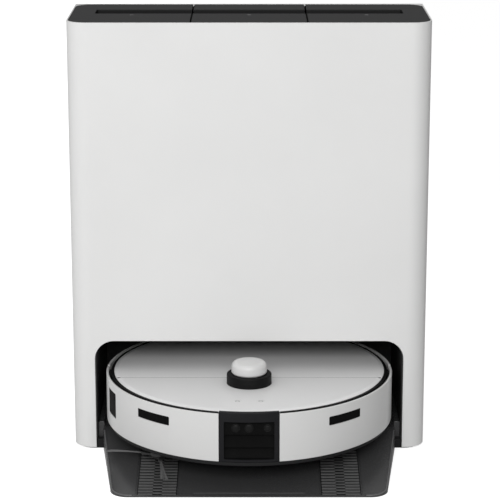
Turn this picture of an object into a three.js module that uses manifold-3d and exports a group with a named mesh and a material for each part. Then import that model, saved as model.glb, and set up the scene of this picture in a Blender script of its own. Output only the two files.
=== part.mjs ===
// Robot vacuum docked in its wash-and-empty station. Millimetres, +Z up, -Y is the front.
// The origin is on the floor, under the centre of the whole assembly.
import * as THREE from "three";
import { mergeVertices } from "three/addons/utils/BufferGeometryUtils.js";
import Module from "manifold-3d";

const wasm = await Module();
wasm.setup();

// ---- Driving dimensions -------------------------------------------------------------------
const GAP = 0.3; // clearance between pieces that touch

// Station tower
const TOWER_WIDTH = 445;
const TOWER_DEPTH = 211;
const TOWER_HEIGHT = 544;
const TOWER_CORNER = 25;
const SHOULDER = 45; // radius along the rear top edge
const SIDE_WALL = 5;
const FRONT_WALL = 2.7;
const REAR_WALL = 3;
const SHELL_FOOT = 2; // the shell stops this far above the floor
const LID_DEPTH = 166; // the lids reach this far behind the front plane

// Bay for the robot
const BAY_HALF = 194;
const BAY_TOP = 143.1;
const BAY_CORNER = 24;
const LINER_WALL = 3;
const LINER_BACK = 173;

// Base and ramp
const PLATFORM_TOP = 27;
const RAIL_TOP = 32;
const RAMP_LENGTH = 167.5; // in front of the tower
const RAMP_LIP = 1.6;
const PLATE_TOP = 12;

// Upper compartments
const DECK_TOP = 200;
const LID_SPLIT = 73.2;
const LID_THICK = 16;
const LID_TOP = TOWER_HEIGHT - 0.4;

// Robot
const ROBOT_R = 180;
const ROBOT_SETBACK = 10; // robot centre behind the tower's front plane
const SKIN = 2.8; // thickness of the white side skins
const RIM_TOP = 106.7;
const COVER_TOP = 106;
const COVER_THICK = 3;
const COVER_R = 171.6;
const BAND_BOTTOM = 44.7;
const CHASSIS_BOTTOM = 38;
const CHASSIS_FLOOR = 42;
const SEAM_Y = -43; // seam across the cover, from the robot's centre
const TURRET_Y = -63;
const BUMPER_END = 93; // degrees from straight ahead
const REAR_SHELL_START = 94.3;
const WHEEL_R = 34;
const MOP_R = 60;
const MOP_X = 66;
const MOP_Y = 94;

// Derived places
const HALF_WIDTH = TOWER_WIDTH / 2;
const FRONT_Y = -(TOWER_DEPTH - (ROBOT_R - ROBOT_SETBACK)) / 2;
const REAR_Y = FRONT_Y + TOWER_DEPTH;
const ROBOT_Y = FRONT_Y + ROBOT_SETBACK;
const INNER_HALF = HALF_WIDTH - SIDE_WALL;
const INNER_FRONT = FRONT_Y + FRONT_WALL;
const INNER_REAR = REAR_Y - REAR_WALL;
const INNER_CORNER = TOWER_CORNER - SIDE_WALL;
const LID_REAR = FRONT_Y + LID_DEPTH - 0.9;
const SKIN_INNER = ROBOT_R - SKIN;

// ---- Geometry helpers ---------------------------------------------------------------------

// A closed three.js geometry as a solid whose faces point out.
function solid(geometry) {
  const bare = geometry.index ? geometry.clone() : geometry;
  bare.deleteAttribute("normal");
  bare.deleteAttribute("uv");
  const merged = mergeVertices(bare, 1e-4);
  const vertProperties = new Float32Array(merged.attributes.position.array);
  const triVerts = new Uint32Array(merged.index.array);
  const made = new wasm.Manifold(new wasm.Mesh({ numProp: 3, vertProperties, triVerts }));
  if (made.volume() > 0) return made;
  triVerts.reverse();
  return new wasm.Manifold(new wasm.Mesh({ numProp: 3, vertProperties, triVerts }));
}

function geometryOf(manifold) {
  const mesh = manifold.getMesh();
  const geometry = new THREE.BufferGeometry();
  geometry.setAttribute("position", new THREE.BufferAttribute(mesh.vertProperties, 3));
  geometry.setIndex(new THREE.BufferAttribute(mesh.triVerts, 1));
  const flat = geometry.toNonIndexed();
  flat.computeVertexNormals();
  return flat;
}

const join = (...solids) => solids.reduce((a, b) => a.add(b));
const cut = (body, ...tools) => tools.reduce((a, b) => a.subtract(b), body);

function box([x0, x1], [y0, y1], [z0, z1]) {
  const geometry = new THREE.BoxGeometry(x1 - x0, y1 - y0, z1 - z0);
  return solid(geometry.translate((x0 + x1) / 2, (y0 + y1) / 2, (z0 + z1) / 2));
}

function extrude(shape, depth, curveSegments = 8) {
  return new THREE.ExtrudeGeometry(shape, { depth, bevelEnabled: false, curveSegments });
}

// A plan outline (x, y) raised from z0 to z1.
const upright = (shape, [z0, z1], segments = 5) =>
  solid(extrude(shape, z1 - z0, segments).translate(0, 0, z0));

// A side outline (y, z) carried along X.
function alongX(shape, [x0, x1], segments = 6) {
  const turn = new THREE.Matrix4().set(0, 0, 1, 0, 1, 0, 0, 0, 0, 1, 0, 0, 0, 0, 0, 1);
  return solid(extrude(shape, x1 - x0, segments).applyMatrix4(turn).translate(x0, 0, 0));
}

// A front outline (x, z) carried along Y.
const alongY = (shape, [y0, y1], segments = 5) =>
  solid(extrude(shape, y1 - y0, segments).rotateX(Math.PI / 2).translate(0, y1, 0));

function outline(points) {
  return new THREE.Shape(points.map(([x, y]) => new THREE.Vector2(x, y)));
}

// A rectangle whose four corners are rounded: radii are [low, high] along the second axis.
function roundedRect([x0, x1], [y0, y1], low, high = low) {
  const shape = new THREE.Shape();
  const quarter = Math.PI / 2;
  shape.moveTo(x0 + low, y0);
  shape.lineTo(x1 - low, y0);
  if (low) shape.absarc(x1 - low, y0 + low, low, -quarter, 0, false);
  shape.lineTo(x1, y1 - high);
  if (high) shape.absarc(x1 - high, y1 - high, high, 0, quarter, false);
  shape.lineTo(x0 + high, y1);
  if (high) shape.absarc(x0 + high, y1 - high, high, quarter, 2 * quarter, false);
  shape.lineTo(x0, y0 + low);
  if (low) shape.absarc(x0 + low, y0 + low, low, 2 * quarter, 3 * quarter, false);
  return shape;
}

// A profile of (radius, z) pairs turned about the Z axis through (x, y).
function turned(profile, segments, [x, y] = [0, 0]) {
  const points = profile.map(([radius, z]) => new THREE.Vector2(radius, z));
  const geometry = new THREE.LatheGeometry(points, segments);
  return solid(geometry.rotateX(Math.PI / 2).translate(x, y, 0));
}

function disc(radius, [z0, z1], centre = [0, 0], segments = 32) {
  return turned([[0, z0], [radius, z0], [radius, z1], [0, z1]], segments, centre);
}

// A round bar along X through (y, z).
function barX(radius, [x0, x1], [y, z], segments = 12) {
  const geometry = new THREE.CylinderGeometry(radius, radius, x1 - x0, segments);
  return solid(geometry.rotateZ(Math.PI / 2).translate((x0 + x1) / 2, y, z));
}

// A round bar along Y through (x, z).
function barY(radius, [y0, y1], [x, z], segments = 12) {
  const geometry = new THREE.CylinderGeometry(radius, radius, y1 - y0, segments);
  return solid(geometry.translate(x, (y0 + y1) / 2, z));
}

// Part of a ring wall about the robot's centre. Angles are degrees from straight ahead (-Y),
// growing towards -X, which the names call left.
function wallSector([inner, outer], [a0, a1], [z0, z1]) {
  const from = THREE.MathUtils.degToRad(-90 - a1);
  const to = THREE.MathUtils.degToRad(-90 - a0);
  const shape = new THREE.Shape();
  shape.absarc(0, 0, outer, from, to, false);
  shape.absarc(0, 0, inner, to, from, true);
  shape.closePath();
  const segments = Math.max(2, Math.round((a1 - a0) / 5));
  return upright(shape, [z0, z1], segments);
}

const spread = ([low, high], by) => [low - by, high + by];

// ---- Materials ----------------------------------------------------------------------------
const PALETTE = {
  white: { color: 0xe9e9e9, roughness: 0.42, metalness: 0 },
  black: { color: 0x17181a, roughness: 0.5, metalness: 0 },
  gloss: { color: 0x0b0c0d, roughness: 0.12, metalness: 0 },
  graphite: { color: 0x3b3c3e, roughness: 0.55, metalness: 0 },
  rubber: { color: 0x222325, roughness: 0.85, metalness: 0 },
  clear: { color: 0x9fb2bb, roughness: 0.1, metalness: 0, transparent: true, opacity: 0.4 },
  metal: { color: 0xc9c5b8, roughness: 0.3, metalness: 1 },
  cloth: { color: 0x8f9396, roughness: 1, metalness: 0 },
  board: { color: 0x1d4a35, roughness: 0.6, metalness: 0 },
};

function addPiece(group, name, manifold, finish) {
  const material = new THREE.MeshStandardMaterial(PALETTE[finish]);
  const mesh = new THREE.Mesh(geometryOf(manifold), material);
  mesh.name = name;
  group.add(mesh);
}

// ---- Station: shell -----------------------------------------------------------------------

// The tower's side outline (y, z): square in front, rounded along the rear top edge.
function towerSide(rear, foot, top, radius) {
  const shape = new THREE.Shape();
  shape.moveTo(FRONT_Y - 1, foot);
  shape.lineTo(rear, foot);
  shape.lineTo(rear, top - radius);
  shape.absarc(rear - radius, top - radius, radius, 0, Math.PI / 2, false);
  shape.lineTo(FRONT_Y - 1, top);
  return shape;
}

const innerPlan = (inset) =>
  roundedRect(
    [-INNER_HALF + inset, INNER_HALF - inset],
    [INNER_FRONT + inset, INNER_REAR - inset],
    INNER_CORNER - inset,
  );

const lidPlan = (inset, rear) =>
  roundedRect(
    [-INNER_HALF + inset, INNER_HALF - inset],
    [INNER_FRONT + inset, rear],
    INNER_CORNER - inset,
    8,
  );

function bayArch(half, top, radius, foot) {
  return roundedRect([-half, half], [foot, top], 0, radius);
}

const PANEL = { x: [-110, 110], z: [30, 250], corner: 8 };
const INLET = { x: [74, 102], z: [38, 58], socket: [43, 53] };

function outerShell() {
  const plan = roundedRect([-HALF_WIDTH, HALF_WIDTH], [FRONT_Y, REAR_Y], TOWER_CORNER);
  const block = upright(plan, [SHELL_FOOT, TOWER_HEIGHT]).intersect(
    alongX(towerSide(REAR_Y, 0, TOWER_HEIGHT, SHOULDER), [-HALF_WIDTH, HALF_WIDTH]),
  );
  const roof = TOWER_HEIGHT - REAR_WALL;
  const hollow = upright(innerPlan(0), [0, roof]).intersect(
    alongX(towerSide(INNER_REAR, 0, roof, SHOULDER - REAR_WALL), [-HALF_WIDTH, HALF_WIDTH]),
  );
  const mouth = upright(lidPlan(0, LID_REAR + 1.4), [roof - 30, TOWER_HEIGHT + 1]);
  const bay = alongY(bayArch(BAY_HALF, BAY_TOP, BAY_CORNER, 0), [FRONT_Y - 1, INNER_FRONT + 8]);
  const panelHole = alongY(roundedRect(PANEL.x, PANEL.z, PANEL.corner), [REAR_Y - 8, REAR_Y + 1], 3);
  return cut(block, hollow, mouth, bay, panelHole);
}

function rearPanel() {
  const face = roundedRect(spread(PANEL.x, -GAP), spread(PANEL.z, -GAP), PANEL.corner - GAP);
  let panel = alongY(face, [INNER_REAR + GAP, REAR_Y - GAP], 3);
  const louvres = 9;
  for (let i = 0; i < louvres; i += 1) {
    const z = 155 + i * 9;
    panel = panel.subtract(box([-75, 75], [INNER_REAR - 1, REAR_Y + 1], [z, z + 3.5]));
  }
  const inletHole = box(spread(INLET.x, GAP), [INNER_REAR - 1, REAR_Y + 1], spread(INLET.z, GAP));
  return panel.subtract(inletHole);
}

function powerInlet() {
  const body = box(INLET.x, [LINER_BACK + LINER_WALL + GAP, REAR_Y - 0.6], INLET.z);
  const socket = box([INLET.x[0] + 4, INLET.x[1] - 4], [REAR_Y - 12, REAR_Y], INLET.socket);
  return body.subtract(socket);
}

// ---- Station: bay and base ----------------------------------------------------------------
const CONTACT = { x: 60, z: 66, r: 4.2 };
const CONTACT_Z = [CONTACT.z - 6, CONTACT.z + 6];
const PORT = { x: [-20, 20], z: [62, 88] };

function bayLiner() {
  const half = BAY_HALF - 1.5;
  const top = BAY_TOP - 1;
  const outer = bayArch(half + LINER_WALL, top + LINER_WALL, BAY_CORNER, PLATE_TOP + GAP);
  const inner = bayArch(half, top, BAY_CORNER - 2, PLATE_TOP - 1);
  const shell = cut(
    alongY(outer, [INNER_FRONT + GAP, LINER_BACK + LINER_WALL]),
    alongY(inner, [INNER_FRONT - 1, LINER_BACK]),
  );
  const holes = [-1, 1].map((side) =>
    barY(CONTACT.r + 0.6, [LINER_BACK - 1, LINER_BACK + 5], [side * CONTACT.x, CONTACT.z]),
  );
  const port = box(PORT.x, [LINER_BACK - 1, LINER_BACK + 5], PORT.z);
  return cut(shell, ...holes, port);
}

const RAMP_FRONT = FRONT_Y - RAMP_LENGTH;
const RAMP_CREST = FRONT_Y + 6;

// Height of the ramp's upper surface at y.
const rampHeight = (y) =>
  THREE.MathUtils.mapLinear(y, RAMP_FRONT, RAMP_CREST, RAMP_LIP, PLATFORM_TOP);

const PLATFORM_HALF = 185;
const BASE_FACE = FRONT_Y + 12.6; // front face of the base beside the ramp
const PLATFORM_REAR = LINER_BACK - 1;

function rampOutline() {
  const tip = 167;
  const corner = 22;
  const shape = new THREE.Shape();
  shape.moveTo(-PLATFORM_HALF, PLATFORM_REAR);
  shape.lineTo(-PLATFORM_HALF, FRONT_Y);
  shape.lineTo(-tip, RAMP_FRONT + corner);
  shape.absarc(-tip + corner, RAMP_FRONT + corner, corner, Math.PI, 1.5 * Math.PI, false);
  shape.lineTo(tip - corner, RAMP_FRONT);
  shape.absarc(tip - corner, RAMP_FRONT + corner, corner, 1.5 * Math.PI, 2 * Math.PI, false);
  shape.lineTo(PLATFORM_HALF, FRONT_Y);
  shape.lineTo(PLATFORM_HALF, PLATFORM_REAR);
  return shape;
}

function rampSide() {
  return outline([
    [RAMP_FRONT, 0],
    [RAMP_FRONT, RAMP_LIP],
    [RAMP_CREST, PLATFORM_TOP],
    [PLATFORM_REAR, PLATFORM_TOP],
    [PLATFORM_REAR, 0],
  ]);
}

const PAD = { x: [86.5, 134], y: [RAMP_FRONT + 3, FRONT_Y - 3], depth: 1.4, rib: 0.7, pitch: 7 };
const TRAY = { x: [-134, 134], y: [18, 150], floor: 12.7 };
const STRIP = { x: [-170, 170], y: [150, 162], depth: 2 };

function padPocket(side) {
  const [near, far] = spread(PAD.y, GAP);
  const drop = PAD.depth + GAP;
  const shape = outline([
    [near, rampHeight(near) - drop],
    [far, rampHeight(far) - drop],
    [far, 40],
    [near, 40],
  ]);
  const [inner, outer] = spread(PAD.x, GAP);
  return alongX(shape, side > 0 ? [inner, outer] : [-outer, -inner]);
}

function baseTray() {
  const plate = upright(innerPlan(GAP), [0, PLATE_TOP]);
  const ramp = upright(rampOutline(), [0, 60]).intersect(
    alongX(rampSide(), [-PLATFORM_HALF, PLATFORM_HALF]),
  );
  const railX = [PLATFORM_HALF - 1, BAY_HALF - 1.5 - GAP];
  const rails = [-1, 1].map((side) =>
    box(side > 0 ? railX : [-railX[1], -railX[0]], [BASE_FACE, PLATFORM_REAR], [1, RAIL_TOP]),
  );
  const trayHole = box(spread(TRAY.x, GAP), spread(TRAY.y, GAP), [TRAY.floor - GAP, 60]);
  const stripHole = box(spread(STRIP.x, GAP), spread(STRIP.y, GAP), [-1, STRIP.depth + GAP]);
  return cut(join(plate, ramp, ...rails), padPocket(-1), padPocket(1), trayHole, stripHole);
}

// A ribbed rubber pad that follows the ramp.
function tractionPad(side) {
  const [near, far] = PAD.y;
  const { rib } = PAD;
  const top = [];
  const count = Math.floor((far - near) / PAD.pitch);
  for (let i = 0; i < count; i += 1) {
    const y = near + 1.5 + i * PAD.pitch;
    for (const [step, drop] of [[0, rib], [1, 0], [2.5, 0], [3.5, rib]]) {
      top.push([y + step, rampHeight(y + step) - drop]);
    }
  }
  const shape = outline([
    [near, rampHeight(near) - rib],
    ...top,
    [far, rampHeight(far) - rib],
    [far, rampHeight(far) - PAD.depth],
    [near, rampHeight(near) - PAD.depth],
  ]);
  return alongX(shape, side > 0 ? PAD.x : [-PAD.x[1], -PAD.x[0]]);
}

function washTray() {
  const rim = PLATFORM_TOP - 0.4;
  const tub = upright(roundedRect(TRAY.x, TRAY.y, 4), [TRAY.floor, rim], 3);
  const hollow = upright(roundedRect(spread(TRAY.x, -3), spread(TRAY.y, -3), 3), [16, 40], 3);
  let tray = tub.subtract(hollow);
  const ribs = 8;
  for (let i = 0; i < ribs; i += 1) {
    const y = TRAY.y[0] + 14 + i * 15;
    tray = tray.add(box([TRAY.x[0] + 2, TRAY.x[1] - 2], [y, y + 3], [15, rim - 1.2]));
  }
  return tray;
}

function portSeal() {
  const outer = roundedRect(spread(PORT.x, 6), spread(PORT.z, 6), 6);
  outer.holes.push(roundedRect(PORT.x, PORT.z, 2));
  return alongY(outer, [LINER_BACK - 2.6, LINER_BACK - GAP], 2);
}

// A sprung pin whose tip stops just short of the docked robot.
function chargeContact(side) {
  const at = [side * CONTACT.x, CONTACT.z];
  const tip = ROBOT_Y + Math.sqrt(ROBOT_R ** 2 - (CONTACT.x - CONTACT.r) ** 2) + GAP;
  const pin = barY(CONTACT.r, [tip, 180], at);
  const head = barY(CONTACT.r + 3, [LINER_BACK + LINER_WALL + GAP, 180], at);
  return pin.add(head);
}

// ---- Station: upper compartments ----------------------------------------------------------
const DUCT = { x: [-22, 22], y: [176.6, 186.8], z: [56, 340], mouth: 300 };

function innerFrame() {
  const deck = upright(innerPlan(GAP), [DECK_TOP - 4, DECK_TOP]);
  const wallTop = LID_TOP - LID_THICK - 1.5;
  const back = box([-INNER_HALF + 1, INNER_HALF - 1], [146.5, 149], [DECK_TOP - 1, wallTop]);
  const dividers = [-1, 1].map((side) =>
    box([side * LID_SPLIT - 1.2, side * LID_SPLIT + 1.2], [INNER_FRONT + 1.5, 147], [DECK_TOP - 1, wallTop]),
  );
  const ductHole = box(spread(DUCT.x, 0.5), spread(DUCT.y, 0.5), [DECK_TOP - 8, DECK_TOP + 1]);
  const bagHole = box([-18, 18], [140, 152], [DUCT.mouth + 5, DUCT.z[1] - 5]);
  return cut(join(deck, back, ...dividers), ductHole, bagHole);
}

function dustDuct() {
  const wall = 2;
  const riser = box(DUCT.x, DUCT.y, DUCT.z);
  const elbow = box(DUCT.x, [149.4, DUCT.y[1]], [DUCT.mouth, DUCT.z[1]]);
  const bore = box(spread(DUCT.x, -wall), spread(DUCT.y, -wall), spread(DUCT.z, -wall));
  const outlet = box(spread(DUCT.x, -wall), [148, DUCT.y[1] - wall], spread([DUCT.mouth, DUCT.z[1]], -wall));
  const intake = box(PORT.x, [DUCT.y[0] - 1, DUCT.y[0] + 4], PORT.z);
  return cut(join(riser, elbow), bore, outlet, intake);
}

const CHANNEL = { x: 192, y: [FRONT_Y + 82, FRONT_Y + 118], depth: 11.5, undercut: 5.5 };

// One of the three top covers, with its stretch of the finger channel.
function topLid([x0, x1]) {
  const plan = upright(lidPlan(GAP, LID_REAR), [LID_TOP - LID_THICK, LID_TOP]);
  const slab = plan.intersect(box([x0, x1], [FRONT_Y, REAR_Y], [0, TOWER_HEIGHT]));
  const reach = [Math.max(x0 - 1, -CHANNEL.x), Math.min(x1 + 1, CHANNEL.x)];
  const floor = LID_TOP - CHANNEL.depth;
  const channel = box(reach, CHANNEL.y, [floor, TOWER_HEIGHT + 1]);
  const grip = box(reach, [CHANNEL.y[0] - CHANNEL.undercut, CHANNEL.y[0] + 1], [floor, floor + 5.5]);
  return cut(slab, channel, grip);
}

const SIDE_LID_X = [LID_SPLIT + GAP, INNER_HALF];
const TANK = { x: [LID_SPLIT + 2.6, INNER_HALF - 1.5], y: [INNER_FRONT + 1.5, 144.5], wall: 2.5 };

const mirrored = ([a, b], side) => (side > 0 ? [a, b] : [-b, -a]);

function waterTank(side) {
  const z = [DECK_TOP + 1.5, LID_TOP - LID_THICK - GAP];
  const outer = upright(roundedRect(mirrored(TANK.x, side), TANK.y, 17), z, 3);
  const inside = roundedRect(mirrored(spread(TANK.x, -TANK.wall), side), spread(TANK.y, -TANK.wall), 15);
  return outer.subtract(upright(inside, [z[0] + TANK.wall, z[1] + 1], 3));
}

function dustBag() {
  const plan = roundedRect([-60, 60], [-8, 132], 16);
  return upright(plan, [262, 505], 4);
}

function stationFanHousing() {
  const z = DECK_TOP + GAP;
  const profile = [[0, z], [54, z], [54, z + 48], [50, z + 48], [50, z + 4], [0, z + 4]];
  return turned(profile, 24, [0, 62]);
}

// A hub disc with straight blades, for either fan.
function impeller([x, y], radius, [z0, z1], blades) {
  let wheel = turned([[0, z0], [radius, z0], [radius, z0 + 2], [9, z0 + 3], [7, z1], [0, z1]], 18, [x, y]);
  for (let i = 0; i < blades; i += 1) {
    const blade = new THREE.BoxGeometry(radius - 9, 2, z1 - z0 - 4);
    blade.translate((radius + 7) / 2, 0, (z0 + z1) / 2);
    blade.rotateZ((i / blades) * 2 * Math.PI).translate(x, y, 0);
    wheel = wheel.add(solid(blade));
  }
  return wheel;
}

function controlBoard() {
  const board = box([70, 190], [153, 154.6], [230, 380]);
  const chips = [
    box([85, 110], [154, 160], [250, 275]),
    box([125, 165], [154, 170], [300, 345]),
    box([85, 100], [154, 168], [320, 360]),
  ];
  return join(board, ...chips);
}

function waterPump() {
  const motor = disc(20, [149, 192], [-140, 60]);
  const head = box([-175, -138], [42, 78], [145.6, 162]);
  return motor.add(head);
}

function buildStation() {
  const station = new THREE.Group();
  const add = (...piece) => addPiece(station, ...piece);
  add("outer_shell", outerShell(), "white");
  add("rear_panel", rearPanel(), "graphite");
  add("power_inlet", powerInlet(), "black");
  add("bay_liner", bayLiner(), "black");
  add("base_tray", baseTray(), "black");
  add("wash_tray", washTray(), "graphite");
  add("anti_slip_strip", box(STRIP.x, STRIP.y, [0, STRIP.depth]), "rubber");
  add("dust_port_seal", portSeal(), "rubber");
  add("inner_frame", innerFrame(), "graphite");
  add("dust_duct", dustDuct(), "graphite");
  add("dust_lid", topLid([-LID_SPLIT + GAP, LID_SPLIT - GAP]), "graphite");
  add("dust_bag", dustBag(), "cloth");
  add("station_fan_housing", stationFanHousing(), "black");
  add("station_impeller", impeller([0, 62], 46, [DECK_TOP + 7, DECK_TOP + 40], 9), "black");
  add("control_board", controlBoard(), "board");
  add("water_pump", waterPump(), "black");
  for (const [side, word] of [[-1, "left"], [1, "right"]]) {
    const tank = side < 0 ? "clean_tank" : "dirty_tank";
    add(tank, waterTank(side), "clear");
    add(`${tank}_lid`, topLid(mirrored(SIDE_LID_X, side)), "graphite");
    add(`traction_pad_${word}`, tractionPad(side), "rubber");
    add(`charge_contact_${word}`, chargeContact(side), "metal");
  }
  return station;
}

// ---- Robot: chassis -----------------------------------------------------------------------
const CASTER = { y: -126, pocket: 25, wheel: 13, trail: 5 };
const BRUSH = { y: -45, z: 46, r: 18, half: 78 };
const SIDE_BRUSH = [-110, -107];
const WHEEL = { x: [113, 135], z: PLATFORM_TOP + GAP + WHEEL_R };
const ARM = { x: [94, 109], y: -30, z: 63 };
const WINDOW = { x: 30, z: [48, 95] };
const WALL_OUTER = 170.5;
const WALL_INNER = 168;

function chassisTub() {
  const profile = [
    [0, CHASSIS_BOTTOM],
    [174, CHASSIS_BOTTOM],
    [177.3, 39.6],
    [177.3, BAND_BOTTOM - 0.8],
    [WALL_OUTER, BAND_BOTTOM - 0.8],
    [WALL_OUTER, 100],
    [173.6, 100],
    [173.6, 101.2],
    [WALL_INNER, 101.2],
    [WALL_INNER, CHASSIS_FLOOR],
    [0, CHASSIS_FLOOR],
  ];
  return turned(profile, 48);
}

// The cup above the floor in which the caster swivels.
function casterCup() {
  const { pocket } = CASTER;
  const profile = [
    [pocket, CHASSIS_FLOOR - 1],
    [pocket + 2.5, CHASSIS_FLOOR - 1],
    [pocket + 2.5, 63],
    [4.2, 63],
    [4.2, 60],
    [pocket, 60],
    [pocket, CHASSIS_FLOOR - 1],
  ];
  return turned(profile, 20, [0, CASTER.y]);
}

// Lug and pin on which a wheel arm pivots.
function armPivot(side) {
  const lug = box(mirrored([87, 91], side), [ARM.y - 7, ARM.y + 7], [CHASSIS_FLOOR - 1, ARM.z + 8]);
  return lug.add(barX(3, mirrored([90, 108], side), [ARM.y, ARM.z]));
}

function chassis() {
  const floorZ = [CHASSIS_BOTTOM - 1, CHASSIS_FLOOR + 1];
  const holes = [
    box([-BRUSH.half - 1, BRUSH.half + 1], [BRUSH.y - 21, BRUSH.y + 21], floorZ),
    disc(CASTER.pocket, floorZ, [0, CASTER.y]),
    disc(4.5, floorZ, SIDE_BRUSH, 12),
    box([-34, 34], [-171, -155], [45.5, 97.5]),
    box(PORT.x, [155, ROBOT_R], PORT.z),
  ];
  for (const side of [-1, 1]) {
    holes.push(box(mirrored([110.5, 138], side), [-39, 39], floorZ));
    holes.push(disc(4.8, floorZ, [side * MOP_X, MOP_Y], 12));
  }
  return join(cut(chassisTub(), ...holes), casterCup(), armPivot(-1), armPivot(1));
}

// ---- Robot: bumper ------------------------------------------------------------------------
const EYES = { angles: [32.2, 48.4], z: [81.5, 92.3] };
const WALL_EYE = { angles: [66, 76], z: [62, 94] };
const BEZEL_ANGLE = 11.5;
const CARRIER = [174.2, 176.9];
const DEGREE_GAP = 0.1;

function bumperCarrier() {
  const ring = wallSector(CARRIER, [-BUMPER_END, BUMPER_END], [45.4, 99.3]);
  return ring.subtract(box([-31, 31], [-ROBOT_R, -160], [47, 96.8]));
}

function bumperSkin(left) {
  const sector = left ? [BEZEL_ANGLE + DEGREE_GAP, BUMPER_END] : [-BUMPER_END, -BEZEL_ANGLE - DEGREE_GAP];
  const skin = wallSector([SKIN_INNER, ROBOT_R], sector, [BAND_BOTTOM, RIM_TOP]);
  const through = [SKIN_INNER - 1, ROBOT_R + 1];
  const eye = left ? EYES.angles : [-EYES.angles[1], -EYES.angles[0]];
  const pierced = skin.subtract(wallSector(through, spread(eye, DEGREE_GAP), spread(EYES.z, GAP)));
  if (!left) return pierced;
  return pierced.subtract(wallSector(through, spread(WALL_EYE.angles, DEGREE_GAP), spread(WALL_EYE.z, GAP)));
}

function sensorBezel() {
  const plate = wallSector([SKIN_INNER, ROBOT_R], [-BEZEL_ANGLE, BEZEL_ANGLE], [BAND_BOTTOM, 107.4]);
  const brow = wallSector([175, ROBOT_R - 1], [-BEZEL_ANGLE, BEZEL_ANGLE], [101.6, 107.4]);
  const frame = roundedRect([-WINDOW.x, WINDOW.x], WINDOW.z, 2);
  return plate.add(brow).subtract(alongY(frame, [-ROBOT_R - 1, -150], 3));
}

// The stepped block behind the window: lenses above, dark shelves below.
function lensPanel() {
  const back = -163;
  const shape = outline([
    [back, 47.6],
    [-172, 47.6],
    [-172, 60.6],
    [-170, 61.6],
    [-170, 77],
    [-174, 77.6],
    [-172, 96.2],
    [back, 96.2],
  ]);
  return alongX(shape, [-30.4, 30.4]);
}

const glassWindow = (angles, z) => wallSector([SKIN_INNER + 0.1, ROBOT_R - 0.5], angles, z);

// ---- Robot: covers and turret -------------------------------------------------------------
const COVER_Z = [COVER_TOP - COVER_THICK, COVER_TOP];
const BUTTON = { x: 14, y: -134, r: 4.5 };

function coverBlank() {
  const turret = disc(27.9, spread(COVER_Z, 1), [0, TURRET_Y], 24);
  return disc(COVER_R, COVER_Z, [0, 0], 72).subtract(turret);
}

function frontCover() {
  const keyHole = (side) =>
    disc(BUTTON.r + GAP, spread(COVER_Z, 1), [side * BUTTON.x, BUTTON.y], 12);
  const holes = [-1, 1].map(keyHole);
  return cut(coverBlank(), box([-200, 200], [SEAM_Y - 0.15, 200], [90, 120]), ...holes);
}

function rearLid() {
  return coverBlank().subtract(box([-200, 200], [-200, SEAM_Y + 0.15], [90, 120]));
}

function lidarCollar() {
  const profile = [
    [4, 84],
    [27.6, 84],
    [27.6, 117.3],
    [26.4, 118.5],
    [20, 118.5],
    [20, 116],
    [25.2, 116],
    [25.2, 86.5],
    [4, 86.5],
    [4, 84],
  ];
  return turned(profile, 24, [0, TURRET_Y]);
}

function lidarCap() {
  const profile = [
    [0, 118.8],
    [20.9, 118.8],
    [21.9, 120.5],
    [21.9, 129.5],
    [20.6, 132.2],
    [17.5, 133.5],
    [0, 133.5],
  ];
  return turned(profile, 24, [0, TURRET_Y]);
}

function lidarRotor() {
  const profile = [[0, 80], [3, 80], [3, 90], [20, 90], [20, 114], [0, 114]];
  const slot = box([-30, 30], [TURRET_Y - 25, TURRET_Y - 12], [100, 108]);
  return turned(profile, 20, [0, TURRET_Y]).subtract(slot);
}

function rearShell() {
  const shell = wallSector(
    [SKIN_INNER, ROBOT_R],
    [REAR_SHELL_START, 360 - REAR_SHELL_START],
    [BAND_BOTTOM - 0.4, RIM_TOP],
  );
  const pocket = (side) =>
    wallSector([170, 190], spread(contactAngles(side), DEGREE_GAP), spread(CONTACT_Z, GAP));
  const pockets = [-1, 1].map(pocket);
  return cut(shell, box(PORT.x, [160, 190], PORT.z), ...pockets);
}

// The rear contact plates face the dock's pins.
function contactAngles(side) {
  const centre = 180 + side * THREE.MathUtils.radToDeg(Math.asin(CONTACT.x / ROBOT_R));
  return [centre - 2.2, centre + 2.2];
}

const robotContact = (side) =>
  wallSector([SKIN_INNER, ROBOT_R - 0.2], contactAngles(side), CONTACT_Z);

// ---- Robot: running gear ------------------------------------------------------------------

// A toothed outline about a centre, for the wheel tread and the brush.
function lobed([u, v], lobes, outer, root, share) {
  const points = [];
  for (let i = 0; i < lobes; i += 1) {
    const step = (2 * Math.PI) / lobes;
    for (const [at, radius] of [[0, outer], [share, outer], [share + 0.12, root], [0.88, root]]) {
      const angle = (i + at) * step;
      points.push([u + radius * Math.cos(angle), v + radius * Math.sin(angle)]);
    }
  }
  return outline(points);
}

function driveWheel(side) {
  const tread = alongX(lobed([0, WHEEL.z], 16, WHEEL_R, WHEEL_R - 2, 0.5), mirrored(WHEEL.x, side));
  const dish = barX(22, mirrored([131, 140], side), [0, WHEEL.z], 18);
  return tread.subtract(dish).add(barX(4, mirrored([98, 114], side), [0, WHEEL.z]));
}

function wheelArm(side) {
  const shape = new THREE.Shape();
  shape.absarc(ARM.y, ARM.z, 9, Math.PI / 2, 1.5 * Math.PI, false);
  shape.absarc(0, WHEEL.z, 16, -Math.PI / 2, Math.PI / 2, false);
  shape.closePath();
  const arm = alongX(shape, mirrored([92.5, 109], side));
  const gearbox = box(mirrored([92.5, 109], side), [-16, 24], [51, 82]);
  const across = mirrored([80, 120], side);
  const axleBore = barX(4.5, across, [0, WHEEL.z]);
  const pivotBore = barX(3.5, across, [ARM.y, ARM.z]);
  return cut(arm.add(gearbox), axleBore, pivotBore);
}

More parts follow.
